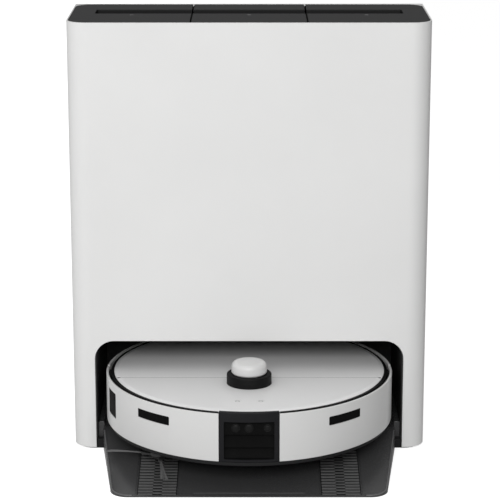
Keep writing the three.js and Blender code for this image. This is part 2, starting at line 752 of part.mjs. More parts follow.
function mainBrush() {
  const fins = lobed([BRUSH.y, BRUSH.z], 6, BRUSH.r, BRUSH.r - 6, 0.12);
  const roller = alongX(fins, [-BRUSH.half, BRUSH.half]);
  return roller.add(barX(3, [-BRUSH.half - 3, BRUSH.half + 3], [BRUSH.y, BRUSH.z]));
}

function brushHousing() {
  const half = BRUSH.half + 4.5;
  const block = box([-half, half], [BRUSH.y - 24, BRUSH.y + 24], [CHASSIS_FLOOR + GAP, 70]);
  const tunnel = barX(BRUSH.r + 2.2, [-BRUSH.half - 1, BRUSH.half + 1], [BRUSH.y, BRUSH.z], 24);
  const axle = barX(3.5, [-half + 1, half - 1], [BRUSH.y, BRUSH.z]);
  return cut(block, tunnel, axle);
}

function sideBrush() {
  const [x, y] = SIDE_BRUSH;
  const hub = [[0, 30], [10, 30], [11, 33], [8, 37.4], [3.2, 37.4], [3.2, 56], [0, 56]];
  let brush = turned(hub, 14, SIDE_BRUSH);
  const [root, tip, droop] = [6, 70, 7.2];
  for (const degrees of [37, 157, 277]) {
    const arm = new THREE.BoxGeometry(tip - root, 4, 1.8, 4).translate((root + tip) / 2, 0, 31.6);
    const at = arm.attributes.position;
    for (let i = 0; i < at.count; i += 1) {
      at.setZ(i, at.getZ(i) - droop * ((at.getX(i) - root) / (tip - root)) ** 2);
    }
    brush = brush.add(solid(arm.rotateZ(THREE.MathUtils.degToRad(degrees)).translate(x, y, 0)));
  }
  return brush;
}

function casterFork() {
  const { y } = CASTER;
  let fork = turned([[0, 56], [22, 56], [22, 59], [3.6, 59], [3.6, 68], [0, 68]], 18, [0, y]);
  for (const side of [-1, 1]) {
    fork = fork.add(box(mirrored([7.2, 10.2], side), [y - 2, y + 12], [37, 57]));
  }
  return fork.subtract(barX(2.5, [-20, 20], [y + CASTER.trail, casterAxleZ()]));
}

const casterAxleZ = () => PLATFORM_TOP + 1 + CASTER.wheel;

function casterWheel() {
  const at = [CASTER.y + CASTER.trail, casterAxleZ()];
  return barX(CASTER.wheel, [-6.6, 6.6], at, 20).add(barX(2, [-10, 10], at, 10));
}

function mopPad(side) {
  const z = PLATFORM_TOP + GAP;
  const pad = [[0, z], [MOP_R - 2, z], [MOP_R, z + 2], [MOP_R, z + 6], [MOP_R - 5, z + 9]];
  const shaft = [[4, z + 9], [4, 62], [0, 62]];
  return turned([...pad, ...shaft], 28, [side * MOP_X, MOP_Y]);
}

// ---- Robot: what it holds -----------------------------------------------------------------
const FAN_Y = 86;

function dustBin() {
  const z = [CHASSIS_FLOOR + 1, 98];
  const outer = upright(roundedRect([-72, 72], [-19, 45], 6), z, 3);
  return outer.subtract(upright(roundedRect([-69.5, 69.5], [-16.5, 42.5], 4), [z[0] + 2.5, 120], 3));
}

function fanHousing() {
  const z = CHASSIS_FLOOR + GAP;
  const profile = [[0, z], [34, z], [34, 84], [31, 84], [31, z + 3], [0, z + 3]];
  return turned(profile, 24, [0, FAN_Y]);
}

function mainBoard() {
  const board = box([-62, 62], [-150, -101], [88, 89.6]);
  return join(board, box([-50, -22], [-140, -118], [89, 93]), box([18, 50], [-138, -110], [89, 94]));
}

function buildRobot() {
  const robot = new THREE.Group();
  robot.position.y = ROBOT_Y;
  const add = (...piece) => addPiece(robot, ...piece);
  add("robot_chassis", chassis(), "black");
  add("bumper_carrier", bumperCarrier(), "black");
  add("bumper_skin_left", bumperSkin(true), "white");
  add("bumper_skin_right", bumperSkin(false), "white");
  add("sensor_bezel", sensorBezel(), "gloss");
  add("lens_panel", lensPanel(), "gloss");
  add("side_window_left", glassWindow(EYES.angles, EYES.z), "gloss");
  add("side_window_right", glassWindow([-EYES.angles[1], -EYES.angles[0]], EYES.z), "gloss");
  add("wall_sensor_window", glassWindow(WALL_EYE.angles, WALL_EYE.z), "gloss");
  add("rear_shell", rearShell(), "white");
  add("front_cover", frontCover(), "white");
  add("rear_lid", rearLid(), "white");
  add("lidar_collar", lidarCollar(), "black");
  add("lidar_cap", lidarCap(), "white");
  add("lidar_rotor", lidarRotor(), "graphite");
  add("dust_bin", dustBin(), "clear");
  add("bin_filter", box([-50, 50], [45.8, 51], [62, 96]), "cloth");
  add("fan_housing", fanHousing(), "black");
  add("fan_impeller", impeller([0, FAN_Y], 28, [50, 76], 8), "graphite");
  add("battery_pack", box([-62, 62], [121, 151], [CHASSIS_FLOOR + 1, 76]), "graphite");
  add("main_board", mainBoard(), "board");
  add("brush_housing", brushHousing(), "graphite");
  add("main_brush", mainBrush(), "rubber");
  add("side_brush", sideBrush(), "graphite");
  add("caster_fork", casterFork(), "black");
  add("caster_wheel", casterWheel(), "rubber");
  for (const [side, word] of [[-1, "left"], [1, "right"]]) {
    const name = side < 0 ? "power_button" : "home_button";
    const button = disc(BUTTON.r, [COVER_Z[0] + GAP, COVER_TOP], [side * BUTTON.x, BUTTON.y], 12);
    add(name, button, "white");
    add(`wheel_arm_${word}`, wheelArm(side), "graphite");
    add(`drive_wheel_${word}`, driveWheel(side), "rubber");
    add(`mop_pad_${word}`, mopPad(side), "cloth");
    add(`robot_contact_${word}`, robotContact(side), "metal");
  }
  return robot;
}

const vacuum = new THREE.Group();
vacuum.add(buildStation(), buildRobot());

export default vacuum;
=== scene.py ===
"""A robot vacuum docked in its wash-and-empty station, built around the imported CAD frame."""

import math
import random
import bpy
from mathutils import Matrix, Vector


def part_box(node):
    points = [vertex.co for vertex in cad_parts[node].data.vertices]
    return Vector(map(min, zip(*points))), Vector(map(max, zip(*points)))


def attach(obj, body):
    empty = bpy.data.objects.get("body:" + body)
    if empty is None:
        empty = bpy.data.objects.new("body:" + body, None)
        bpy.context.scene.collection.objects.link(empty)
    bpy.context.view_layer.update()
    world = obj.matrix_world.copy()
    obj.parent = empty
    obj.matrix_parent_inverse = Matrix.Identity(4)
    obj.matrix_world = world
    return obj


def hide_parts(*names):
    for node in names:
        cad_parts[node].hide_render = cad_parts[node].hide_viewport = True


bl_info = {
    "name": "Docked Robot Vacuum",
    "version": (1, 0, 0),
    "blender": (4, 5, 0),
    "location": "3D View > Sidebar > Vacuum",
    "description": "Builds a robot vacuum in its wash-and-empty station",
    "category": "Object",
}

import bmesh
import bpy
from bpy.props import FloatProperty, FloatVectorProperty, IntProperty, PointerProperty
from mathutils import Matrix, Vector

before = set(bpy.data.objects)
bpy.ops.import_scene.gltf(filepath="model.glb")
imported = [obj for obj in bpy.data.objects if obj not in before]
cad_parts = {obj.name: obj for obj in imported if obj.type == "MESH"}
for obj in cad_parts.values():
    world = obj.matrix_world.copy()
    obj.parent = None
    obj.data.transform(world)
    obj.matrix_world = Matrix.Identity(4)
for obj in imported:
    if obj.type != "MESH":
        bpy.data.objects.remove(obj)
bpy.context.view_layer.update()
MM = 0.001


# ---- Places read from the frame, in millimetres ------------------------------------------


def span(node):
    """A CAD node's extent along each axis, in millimetres."""
    low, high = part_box(node)
    return [(low[i] / MM, high[i] / MM) for i in range(3)]


def middle(extent):
    return (extent[0] + extent[1]) / 2


SHELL_X, SHELL_Y, SHELL_Z = span("outer_shell")
FRONT, REAR = SHELL_Y
TOWER_TOP = SHELL_Z[1]
ROBOT_Y = middle(span("robot_chassis")[1])
ROBOT_R = ROBOT_Y - span("sensor_bezel")[1][0]
RIM_TOP = span("rear_shell")[2][1]
BAND_BOTTOM = span("bumper_skin_left")[2][0]
COVER_Z = span("rear_lid")[2]
COVER_R = span("rear_lid")[0][1]
TURRET_Y = middle(span("lidar_cap")[1]) - ROBOT_Y
LID_Z = span("dust_lid")[2]
LID_REAR = span("dust_lid")[1][1]
_, LINER_Y, LINER_Z = span("bay_liner")
RAMP_FRONT = span("base_tray")[1][0]
LIP = 1.6
CREST = FRONT + 6  # where the ramp meets the level base
DUCT_MOUTH = (300, 340)  # heights of the opening between dust duct and bag
WIDE = 200  # half width of cutters that reach past everything
OVER = 60  # height above every part of the ramp
FIT = 0.3  # clearance between pieces that fit together
LOUVRES = [155 + 9 * i for i in range(9)]  # lower edges of the rear slots
LID_SHIFT, LID_GROOVE = 1.4, 1.6  # outer lids' extra reach inward, and the groove beside it
PLATFORM = span("wash_tray")[2][1] + 0.4
PAD_X, PAD_Y, _ = span("traction_pad_right")

# On the robot, (x, y) is measured from its own axis.
SIDE_BRUSH_AT = (-110, -107)
CASTER_Y = -126
MOP_X, MOP_Y = 66, 94
KEY_X, KEY_Y = 14, -134
TURRET_HOLE = 27.9


# ---- Settings a user would change --------------------------------------------------------


def length(label, tip, default, low=0.0, high=1000.0):
    """A size in millimetres."""
    return FloatProperty(name=label, description=tip, default=default, min=low, max=high)


def colour(label, tip, default):
    return FloatVectorProperty(
        name=label, description=tip, default=default, size=3, subtype="COLOR", min=0, max=1
    )


class StationSizes(bpy.types.PropertyGroup):
    """Sizes of the station, in millimetres."""

    corner: length("Corner", "Radius of the tower's upright corners", 25)
    shoulder: length("Shoulder", "Radius along the tower's rear top edge", 45)
    side_wall: length("Side wall", "Thickness of the shell's sides", 5)
    lid_border: length("Lid border", "White border left beside the lids", 1.6)
    front_wall: length("Front wall", "Thickness of the shell's front", 2.7)
    bay_half: length("Bay half width", "Half the width of the bay's mouth", 194)
    bay_top: length("Bay height", "Height of the bay's mouth above the floor", 143.1)
    bay_corner: length("Bay corner", "Radius of the mouth's upper corners", 24)
    channel_half: length("Channel half length", "Half the length of the finger channel", 192)
    channel_front: length("Channel front", "Channel's near edge behind the front", 82)
    channel_back: length("Channel back", "Channel's far edge behind the front", 118)
    channel_depth: length("Channel depth", "Depth of the finger channel", 11.5)
    grip: length("Grip", "Depth and height of the undercut under the channel's near edge", 5.5)
    rib_pitch: length("Rib pitch", "Spacing of the ribs on the traction pads", 7)


class RobotSizes(bpy.types.PropertyGroup):
    """Sizes of the robot, in millimetres."""

    skin: length("Skin", "Thickness of the side skins", 2.8)
    rim_softness: length("Rim softness", "Radius of the skins' top edge", 1.0)
    rim_drop: length("Rim drop", "Skins' top edge below the chassis rim", 2.2)
    cover_softness: length("Cover softness", "Radius of the covers' outer edge", 0.8)
    seam: length("Seam", "Seam's distance ahead of the robot's centre", 43)
    window_half: length("Window half width", "Half the width of the sensor recess", 30)
    collar: length("Collar radius", "Radius of the turret's collar", 27.6)
    cap: length("Cap radius", "Radius of the turret's cap", 21.9)
    bristles: IntProperty(name="Bristles", description="In each brush arm", default=22, min=3)


class FinishColours(bpy.types.PropertyGroup):
    """Base colours of the finishes."""

    shell: colour("Shell", "White moulding of the tower", (0.745, 0.745, 0.74))
    skin: colour("Skin", "Pale moulding of the robot's sides", (0.65, 0.65, 0.645))
    cover: colour("Cover", "Pale moulding of the robot's covers", (0.745, 0.745, 0.745))
    lid: colour("Lid", "Graphite moulding of the top lids", (0.032, 0.032, 0.0325))
    black: colour("Black", "Black mouldings", (0.012, 0.012, 0.0125))
    ramp: colour("Ramp", "Dark moulding of the base", (0.051, 0.051, 0.052))
    rubber: colour("Rubber", "Rubber pads and treads", (0.060, 0.060, 0.060))
    cloth: colour("Cloth", "Microfibre of the mop pads", (0.36, 0.37, 0.38))


class StageSettings(bpy.types.PropertyGroup):
    """Camera and light."""

    distance: FloatProperty(
        name="Distance",
        description="Camera's distance ahead of the tower's front",
        default=2.4545,
        unit="LENGTH",
    )
    height: FloatProperty(
        name="Height", description="Camera's height above the floor", default=0.9037, unit="LENGTH"
    )
    tilt: FloatProperty(
        name="Tilt",
        description="Camera's tilt below level",
        default=math.radians(14.67),
        subtype="ANGLE",
    )
    lens: FloatProperty(name="Lens", description="Focal length in millimetres", default=147.37)
    key: FloatProperty(name="Key", description="Power of the key light", default=65, unit="POWER")


# ---- Outlines ----------------------------------------------------------------------------


def softened(corners, steps=5):
    """A closed outline of corners: (u, v) stays sharp, and (u, v, radius) is rounded."""
    outline = []
    for before, here, after in zip(corners[-1:] + corners[:-1], corners, corners[1:] + corners[:1]):
        point, radius = Vector(here[:2]), (*here, 0)[2]
        if not radius:
            outline.append(tuple(point))
            continue
        back = (Vector(before[:2]) - point).normalized()
        ahead = (Vector(after[:2]) - point).normalized()
        half = back.angle(ahead) / 2
        centre = point + (back + ahead).normalized() * (radius / math.sin(half))
        start = point + back * (radius / math.tan(half)) - centre
        end = point + ahead * (radius / math.tan(half)) - centre
        turn = math.atan2(start.x * end.y - start.y * end.x, start.dot(end))
        for i in range(steps + 1):
            outline.append(tuple(centre + Matrix.Rotation(turn * i / steps, 2) @ start))
    return outline


def block(x, y, radius=0.0, steps=5):
    """Outline of a rectangle with equal corner radii."""
    (x0, x1), (y0, y1) = x, y
    corners = [(x0, y0, radius), (x1, y0, radius), (x1, y1, radius), (x0, y1, radius)]
    return softened(corners, steps)


def grown(extent, by):
    return (extent[0] - by, extent[1] + by)


def mirrored(extent, side):
    """An extent on the right, or its reflection on the left."""
    return extent if side > 0 else (-extent[1], -extent[0])


# ---- Blanks ------------------------------------------------------------------------------


def tidied(bm):
    """Merges what touches and turns every face outwards."""
    bmesh.ops.remove_doubles(bm, verts=bm.verts, dist=1e-4)
    bmesh.ops.recalc_face_normals(bm, faces=bm.faces)
    return bm


AXES = {"X": (1, 0, 0), "Y": (0, 1, 0), "Z": (0, 0, 1)}
SIDES = ((-1, "left"), (1, "right"))


def placed(axis, u, v, along):
    """A point of an outline that is carried along an axis."""
    return {"X": (along, u, v), "Y": (u, along, v), "Z": (u, v, along)}[axis]


def prism(outline, axis, extent):
    """An outline carried along an axis, as a closed solid."""
    bm = bmesh.new()
    face = bm.faces.new([bm.verts.new(placed(axis, u, v, extent[0])) for u, v in outline])
    made = bmesh.ops.extrude_face_region(bm, geom=[face])
    moved = [item for item in made["geom"] if isinstance(item, bmesh.types.BMVert)]
    way = Vector(AXES[axis]) * (extent[1] - extent[0])
    bmesh.ops.translate(bm, verts=moved, vec=way)
    return tidied(bm)


def beam(axis, extent, u, v, radius=0.0, steps=5):
    """A block along an axis, with its long edges rounded."""
    return prism(block(u, v, radius, steps), axis, extent)


def slab(x, y, z):
    """A plain rectangular block, used as a cutter or to be bevelled."""
    return beam("Z", z, x, y)


def turned(profile, centre=(0, 0), steps=72, closed=False):
    """A (radius, z) profile spun round an upright axis."""
    bm = bmesh.new()
    verts = [bm.verts.new((centre[0] + r, centre[1], z)) for r, z in profile]
    pairs = list(zip(verts, verts[1:])) + ([(verts[-1], verts[0])] if closed else [])
    edges = [bm.edges.new(pair) for pair in pairs]
    bmesh.ops.spin(
        bm,
        geom=verts + edges,
        cent=(*centre, 0),
        axis=(0, 0, 1),
        angle=math.tau,
        steps=steps,
        use_merge=True,
    )
    return tidied(bm)


def rod(radius, z, centre=(0, 0), steps=72):
    """An upright round bar, for a bore or a pin."""
    return turned([(0, z[0]), (radius, z[0]), (radius, z[1]), (0, z[1])], centre, steps)


def annulus(radii, z, centre, steps):
    """An upright tube or a flat printed ring."""
    (inner, outer), (low, high) = radii, z
    profile = [(inner, low), (outer, low), (outer, high), (inner, high)]
    return turned(profile, centre, steps, True)


def laid_over(bm, centre):
    """Turns an upright piece about the origin to lie along X through (y, z)."""
    swung(bm, math.pi / 2, "Y")
    bmesh.ops.translate(bm, verts=bm.verts, vec=(0, *centre))
    return bm


def sector(section, bearings, step=2.0):
    """A closed (radius, z) section swept about the robot's axis between two bearings."""
    start, end = (math.radians(b) for b in bearings)
    bm = bmesh.new()
    way = (-math.sin(start), -math.cos(start))
    verts = [bm.verts.new((r * way[0], r * way[1], z)) for r, z in section]
    edges = [bm.edges.new(pair) for pair in zip(verts, verts[1:] + verts[:1])]
    bmesh.ops.spin(
        bm,
        geom=verts + edges,
        cent=(0, 0, 0),
        axis=(0, 0, 1),
        angle=start - end,
        steps=max(2, round(math.degrees(end - start) / step)),
    )
    bmesh.ops.holes_fill(bm, edges=[e for e in bm.edges if e.is_boundary], sides=0)
    return tidied(bm)


def at_bearing(bm, bearing):
    """Turns a piece made straight ahead to a bearing about the robot's axis."""
    turn = Matrix.Rotation(-math.radians(bearing), 3, "Z")
    bmesh.ops.rotate(bm, verts=bm.verts, matrix=turn)
    return bm


def moved(bm, by):
    bmesh.ops.translate(bm, verts=bm.verts, vec=by)
    return bm


def swung(bm, angle, axis="Z"):
    """Turns a piece about an axis through the origin."""
    bmesh.ops.rotate(bm, verts=bm.verts, matrix=Matrix.Rotation(angle, 3, axis))
    return bm


def gathered(*parts):
    """Several separate solids as one mesh."""
    whole = bmesh.new()
    for part in parts:
        mesh = bpy.data.meshes.new("part")
        part.to_mesh(mesh)
        part.free()
        whole.from_mesh(mesh)
        bpy.data.meshes.remove(mesh)
    return whole


def plain_object(bm):
    mesh = bpy.data.meshes.new("blank")
    bm.to_mesh(mesh)
    bm.free()
    holder = bpy.data.objects.new("blank", mesh)
    bpy.context.scene.collection.objects.link(holder)
    return holder


def carved(blank, *tools, how="DIFFERENCE"):
    """Cuts each tool out of a blank, or keeps what they share."""
    body = plain_object(blank)
    cutters = [plain_object(tool) for tool in tools]
    for cutter in cutters:
        step = body.modifiers.new("carve", "BOOLEAN")
        step.operation = how
        step.solver = "EXACT"
        step.object = cutter
    result = bmesh.new()
    shaped = body.evaluated_get(bpy.context.evaluated_depsgraph_get())
    result.from_mesh(shaped.to_mesh())
    shaped.to_mesh_clear()
    for used in [body, *cutters]:
        bpy.data.meshes.remove(used.data)
    bmesh.ops.dissolve_degenerate(result, edges=result.edges, dist=1e-5)
    return result


def shared(blank, *tools):
    return carved(blank, *tools, how="INTERSECT")


# ---- Pieces ------------------------------------------------------------------------------


def piece(
    name, bm, finish, stands_for=(), bevel=0.0, segments=2, crease=32, body="station", slot=None
):
    """Makes an object from a blank in millimetres and hangs it on its CAD body."""
    bmesh.ops.scale(bm, verts=bm.verts, vec=(MM, MM, MM))
    mesh = bpy.data.meshes.new(name)
    bm.to_mesh(mesh)
    bm.free()
    mesh.shade_smooth()
    made = bpy.data.objects.new(name, mesh)
    bpy.context.scene.collection.objects.link(made)
    mesh.materials.append(FINISHES[finish])
    if bevel:
        edge = made.modifiers.new("edges", "BEVEL")
        edge.width = bevel * MM
        edge.segments = segments
        edge.limit_method = "ANGLE"
        edge.angle_limit = math.radians(crease)
        edge.harden_normals = True
    else:
        mesh.set_sharp_from_angle(angle=math.radians(crease))
    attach(made, body)
    if stands_for:
        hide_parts(*stands_for)
    return made


def robot_piece(name, bm, *rest, body="robot", **more):
    """A piece modelled about the robot's own axis."""
    return piece(name, moved(bm, (0, ROBOT_Y, 0)), *rest, body=body, **more)


def dress(node, finish):
    """Gives a CAD node that stays its finish."""
    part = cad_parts[node]
    part.data.materials.clear()
    part.data.materials.append(FINISHES[finish])


# ---- Shader arithmetic -------------------------------------------------------------------


class Wire:
    """A shader socket that takes part in Python arithmetic."""

    def __init__(self, tree, socket):
        self.tree, self.socket = tree, socket

    def maths(self, operation, left, right):
        node = self.tree.nodes.new("ShaderNodeMath")
        node.operation = operation
        for slot, value in zip(node.inputs, (left, right)):
            feed(self.tree, slot, value)
        return Wire(self.tree, node.outputs[0])

    def __add__(self, other):
        return self.maths("ADD", self, other)

    __radd__ = __add__

    def __sub__(self, other):
        return self.maths("SUBTRACT", self, other)

    def __rsub__(self, other):
        return self.maths("SUBTRACT", other, self)

    def __mul__(self, other):
        return self.maths("MULTIPLY", self, other)

    __rmul__ = __mul__

    def above(self, level):
        return self.maths("GREATER_THAN", self, level)


def feed(tree, slot, value):
    """Links a wire to a socket, or sets the socket's own value."""
    if isinstance(value, Wire):
        tree.links.new(value.socket, slot)
    else:
        slot.default_value = value


class Finish:
    """One material: a Principled shader and the nodes that feed it."""

    def __init__(self, name, **sockets):
        self.material = bpy.data.materials.new(name)
        self.material.use_nodes = True
        self.tree = self.material.node_tree
        self.shader = self.tree.nodes["Principled BSDF"]
        self.place = self.node("ShaderNodeTexCoord", output="Object")
        self.wear(**sockets)

    def node(self, kind, settings=(), output=0, **values):
        made = self.tree.nodes.new(kind)
        for key, value in dict(settings).items():
            setattr(made, key, value)
        for key, value in values.items():
            feed(self.tree, made.inputs[key.replace("_", " ")], value)
        return Wire(self.tree, made.outputs[output])

    def wear(self, **sockets):
        for key, value in sockets.items():
            feed(self.tree, self.shader.inputs[key.replace("_", " ")], value)
        return self

    def stretched(self, scale):
        """Object coordinates in metres, scaled along each axis."""
        return self.node("ShaderNodeMapping", Vector=self.place, Scale=scale)

    def noise(self, scale, detail=2.0, roughness=0.5, stretch=(1, 1, 1)):
        return self.node(
            "ShaderNodeTexNoise",
            Vector=self.stretched(stretch),
            Scale=scale,
            Detail=detail,
            Roughness=roughness,
        )

    def cells(self, scale, feature="F1"):
        settings = {"feature": feature}
        return self.node("ShaderNodeTexVoronoi", settings, Vector=self.place, Scale=scale)

    def blended(self, factor, first, second):
        """A colour between two, by a factor."""
        mix = self.tree.nodes.new("ShaderNodeMix")
        mix.data_type = "RGBA"
        feed(self.tree, mix.inputs["Factor"], factor)
        for slot, value in zip((mix.inputs[6], mix.inputs[7]), (first, second)):
            feed(self.tree, slot, value if isinstance(value, Wire) else (*value, 1))
        return Wire(self.tree, mix.outputs[2])

    def relief(self, height, depth, strength=1.0):
        """Bumps the surface by a height pattern that is depth metres deep."""
        normal = self.node("ShaderNodeBump", Height=height, Distance=depth, Strength=strength)
        return self.wear(Normal=normal)


def shade(rgb, by):
    return tuple(min(1.0, channel * by) for channel in rgb)


def moulded(name, rgb, rough, grain=1500, depth=0.00003, mottle=0.04, **sockets):
    """Moulded plastic: a fine spark-eroded grain, with faint unevenness in tone and gloss."""
    finish = Finish(name, **sockets)
    cloud = finish.noise(7, detail=3)
    fine = finish.noise(grain, detail=1)
    finish.colour = finish.blended(cloud, shade(rgb, 1 - mottle), shade(rgb, 1 + mottle))
    gloss = fine * 0.08 + cloud * 0.05 + (rough - 0.065)
    finish.wear(Base_Color=finish.colour, Roughness=gloss)
    return finish.relief(fine, depth)


def graphite_with_painted_channel_shade(name, rgb):
    """Graphite lids, with painted shade: everything below the top face is darkened, so the finger
    channel's floor is darker.
    """
    finish = moulded(name, rgb, 0.5, grain=1300, depth=0.00006, Specular_IOR_Level=0.16)
    height = finish.node("ShaderNodeSeparateXYZ", output=2, Vector=finish.place)
    # painted shade: below the lids' top face the graphite is darkened to 0.3 of its tone, standing
    # in for shade in the finger channel
    above_painted_shade = height.above((LID_Z[1] - 1) * MM)
    return finish.wear(Base_Color=finish.blended(above_painted_shade, shade(rgb, 0.3), finish.colour))


def glossy_window(name, rgb, rough=0.07, specular=0.1):
    """Infrared-clear black plastic, polished, with a trace of handling marks."""
    finish = Finish(name, Specular_IOR_Level=specular)
    smear = finish.noise(60, detail=4, stretch=(1, 1, 0.4))
    return finish.wear(
        Base_Color=finish.blended(smear, rgb, shade(rgb, 1.6)), Roughness=smear * 0.1 + rough
    )


def rubbery(name, rgb):
    """Moulded rubber with a dusty, open grain."""
    finish = Finish(name, Specular_IOR_Level=0.35)
    dust = finish.noise(90, detail=5, roughness=0.7)
    grain = finish.noise(900, detail=2)
    finish.wear(
        Base_Color=finish.blended(dust, shade(rgb, 0.8), shade(rgb, 1.5)),
        Roughness=dust * 0.2 + 0.6,
    )
    return finish.relief(grain, 0.00008)


def clear_moulding(name, rgb):
    """Smoked clear plastic of the tanks."""
    finish = Finish(name, Transmission_Weight=0.9, IOR=1.45)
    haze = finish.noise(40, detail=3)
    return finish.wear(
        Base_Color=finish.blended(haze, rgb, shade(rgb, 1.15)), Roughness=haze * 0.12 + 0.06
    )


def plated(name, rgb):
    """Plated spring metal, with fine lengthwise scratches."""
    finish = Finish(name, Metallic=1.0)
    scratch = finish.noise(500, detail=3, stretch=(1, 1, 12))
    finish.wear(
        Base_Color=finish.blended(scratch, shade(rgb, 0.9), rgb), Roughness=scratch * 0.2 + 0.18
    )
    return finish.relief(scratch, 0.00002)


def looped_cloth(name, rgb):
    """Microfibre: short looped pile, with painted shade darkening the hollows between the loops, so
    the tips look lighter.
    """
    finish = Finish(name, Sheen_Weight=0.5, Sheen_Roughness=0.5, Roughness=0.95)
    pile = finish.cells(520)
    patch = finish.noise(50, detail=4)
    # painted shade: the colour follows the relief, darker where the loops' relief is low
    finish.wear(
        Base_Color=finish.blended(pile * 0.7 + patch * 0.3, shade(rgb, 1.25), shade(rgb, 0.6))
    )
    return finish.relief(1 - pile, 0.0006)


def pressed_fibre(name, rgb):
    """Non-woven bag and filter paper, with long fibres and soft wrinkles."""
    finish = Finish(name, Roughness=0.9, Sheen_Weight=0.15)
    fibre = finish.noise(700, detail=3, stretch=(1, 0.25, 1))
    crease = finish.noise(26, detail=3, roughness=0.6)
    finish.wear(Base_Color=finish.blended(fibre, shade(rgb, 0.85), rgb))
    return finish.relief(fibre * 0.25 + crease, 0.0009)


def circuit(name):
    """Solder mask over copper tracks."""
    finish = Finish(name, Roughness=0.35)
    tracks = finish.node(
        "ShaderNodeTexBrick",
        {"offset": 0.5},
        output="Fac",
        Vector=finish.place,
        Scale=160.0,
        Mortar_Size=0.05,
    )
    mask = finish.blended(tracks, (0.01, 0.07, 0.035), (0.03, 0.16, 0.07))
    return finish.wear(Base_Color=mask).relief(tracks, 0.00005)


FINISHES = {}


def make_finishes(colours):
    """Fills the list of finishes by name."""
    made = {
        "shell": moulded("shell white", colours.shell, 0.46, grain=1100, depth=0.00005),
        "skin": moulded("skin white", colours.skin, 0.36, Coat_Weight=0.15, Coat_Roughness=0.2),
        "cover": moulded("cover pearl", colours.cover, 0.34, grain=2200, depth=0.00002),
        "lid": graphite_with_painted_channel_shade("lid graphite with painted channel shade", colours.lid),
        "black": moulded(
            "black matte", colours.black, 0.55, grain=1200, depth=0.00006, Specular_IOR_Level=0.2
        ),
        "ramp": moulded("ramp dark", colours.ramp, 0.26, grain=1700, depth=0.00002),
        "collar": moulded(
            "collar black", shade(colours.black, 0.5), 0.5, grain=700, Specular_IOR_Level=0.12
        ),
        # painted highlight: the ramp border wears the ramp's colour made 2.2 times lighter,
        # standing in for the highlight along its edge
        "edge": moulded("ramp edge painted highlight", shade(colours.ramp, 2.2), 0.3),
        "graphite": moulded("inner graphite", shade(colours.lid, 1.1), 0.5),
        "window": glossy_window("window black", (0.005, 0.005, 0.005), rough=0.35, specular=0.01),
        "bezel": glossy_window("bezel black", (0.010, 0.010, 0.011), rough=0.2),
        "lens": glossy_window("lens dark", (0.010, 0.010, 0.010), rough=0.2, specular=0.05),
        "bristle": rubbery("bristle grey", (0.13, 0.13, 0.13)),
        "rubber": rubbery("rubber dark", colours.rubber),
        "tread": rubbery("tread", shade(colours.rubber, 1.3)),
        "clear": clear_moulding("tank smoke", (0.55, 0.6, 0.62)),
        "metal": plated("contact plate", (0.80, 0.72, 0.52)),
        "steel": plated("steel", (0.62, 0.62, 0.63)),
        "cloth": looped_cloth("microfibre", colours.cloth),
        "paper": pressed_fibre("bag fibre", (0.62, 0.60, 0.56)),
        "board": circuit("circuit board"),
        "mark": moulded("printed mark", (0.30, 0.30, 0.30), 0.5),
        "key_mark": moulded("key mark", (0.38, 0.38, 0.38), 0.5),
    }
    FINISHES.update({key: finish.material for key, finish in made.items()})


# ---- Station: shell and lids -------------------------------------------------------------


def tower_side(rear, low, top, radius):
    """The tower's side outline (y, z), rounded along the rear top edge."""
    nose = FRONT - 1
    return softened([(nose, low), (rear, low), (rear, top, radius), (nose, top)], 14)


def tower_solid(x, y, corner, z, shoulder):
    """An upright block with rounded corners and a rounded rear top edge."""
    plan = beam("Z", z, x, y, corner, 12)
    return shared(plan, prism(tower_side(y[1], z[0] - 1, z[1], shoulder), "X", grown(x, 1)))


def inner_plan(sizes, inset=0.0):
    """Extents and corner radius of the shell's inside."""
    x = grown(SHELL_X, -sizes.side_wall - inset)
    y = (FRONT + sizes.front_wall + inset, REAR - 3 - inset)
    return x, y, sizes.corner - sizes.side_wall - inset


def arch(half, foot, top, radius):
    """Outline (x, z) of the bay's mouth."""
    corners = [(-half, foot), (half, foot), (half, top, radius), (-half, top, radius)]
    return softened(corners, 12)


def build_shell(sizes):
    """The white outer shell, with the bay's mouth and the openings for lids and rear panel."""
    outer = tower_solid(SHELL_X, SHELL_Y, sizes.corner, SHELL_Z, sizes.shoulder)
    roof = TOWER_TOP - 3
    x, y, corner = inner_plan(sizes)
    hollow = tower_solid(x, y, corner, (-1, roof), sizes.shoulder - 3)
    mouth_y = (y[0], LID_REAR + 1.4)
    mouth = beam("Z", (roof - 30, TOWER_TOP + 1), x, mouth_y, corner, 12)
    lip_x, lip_corner = lid_seat(sizes)
    seat = beam("Z", (LID_Z[0] - 0.3, TOWER_TOP + 1), lip_x, mouth_y, lip_corner, 12)
    bay = prism(
        arch(sizes.bay_half, -1, sizes.bay_top, sizes.bay_corner), "Y", (FRONT - 1, FRONT + 9)
    )
    panel_x, _, panel_z = span("rear_panel")
    panel = beam("Y", (REAR - 9, REAR + 1), grown(panel_x, FIT), grown(panel_z, FIT), 8)
    shell = carved(outer, hollow, mouth, seat, bay, panel)
    piece("station_shell", shell, "shell", ["outer_shell"], 0.7, 3)


def lid_seat(sizes, inset=0.0):
    """Side extent and corner radius of the rebate that the lids lie in."""
    wall = sizes.lid_border + inset
    return grown(SHELL_X, -wall), sizes.corner - wall


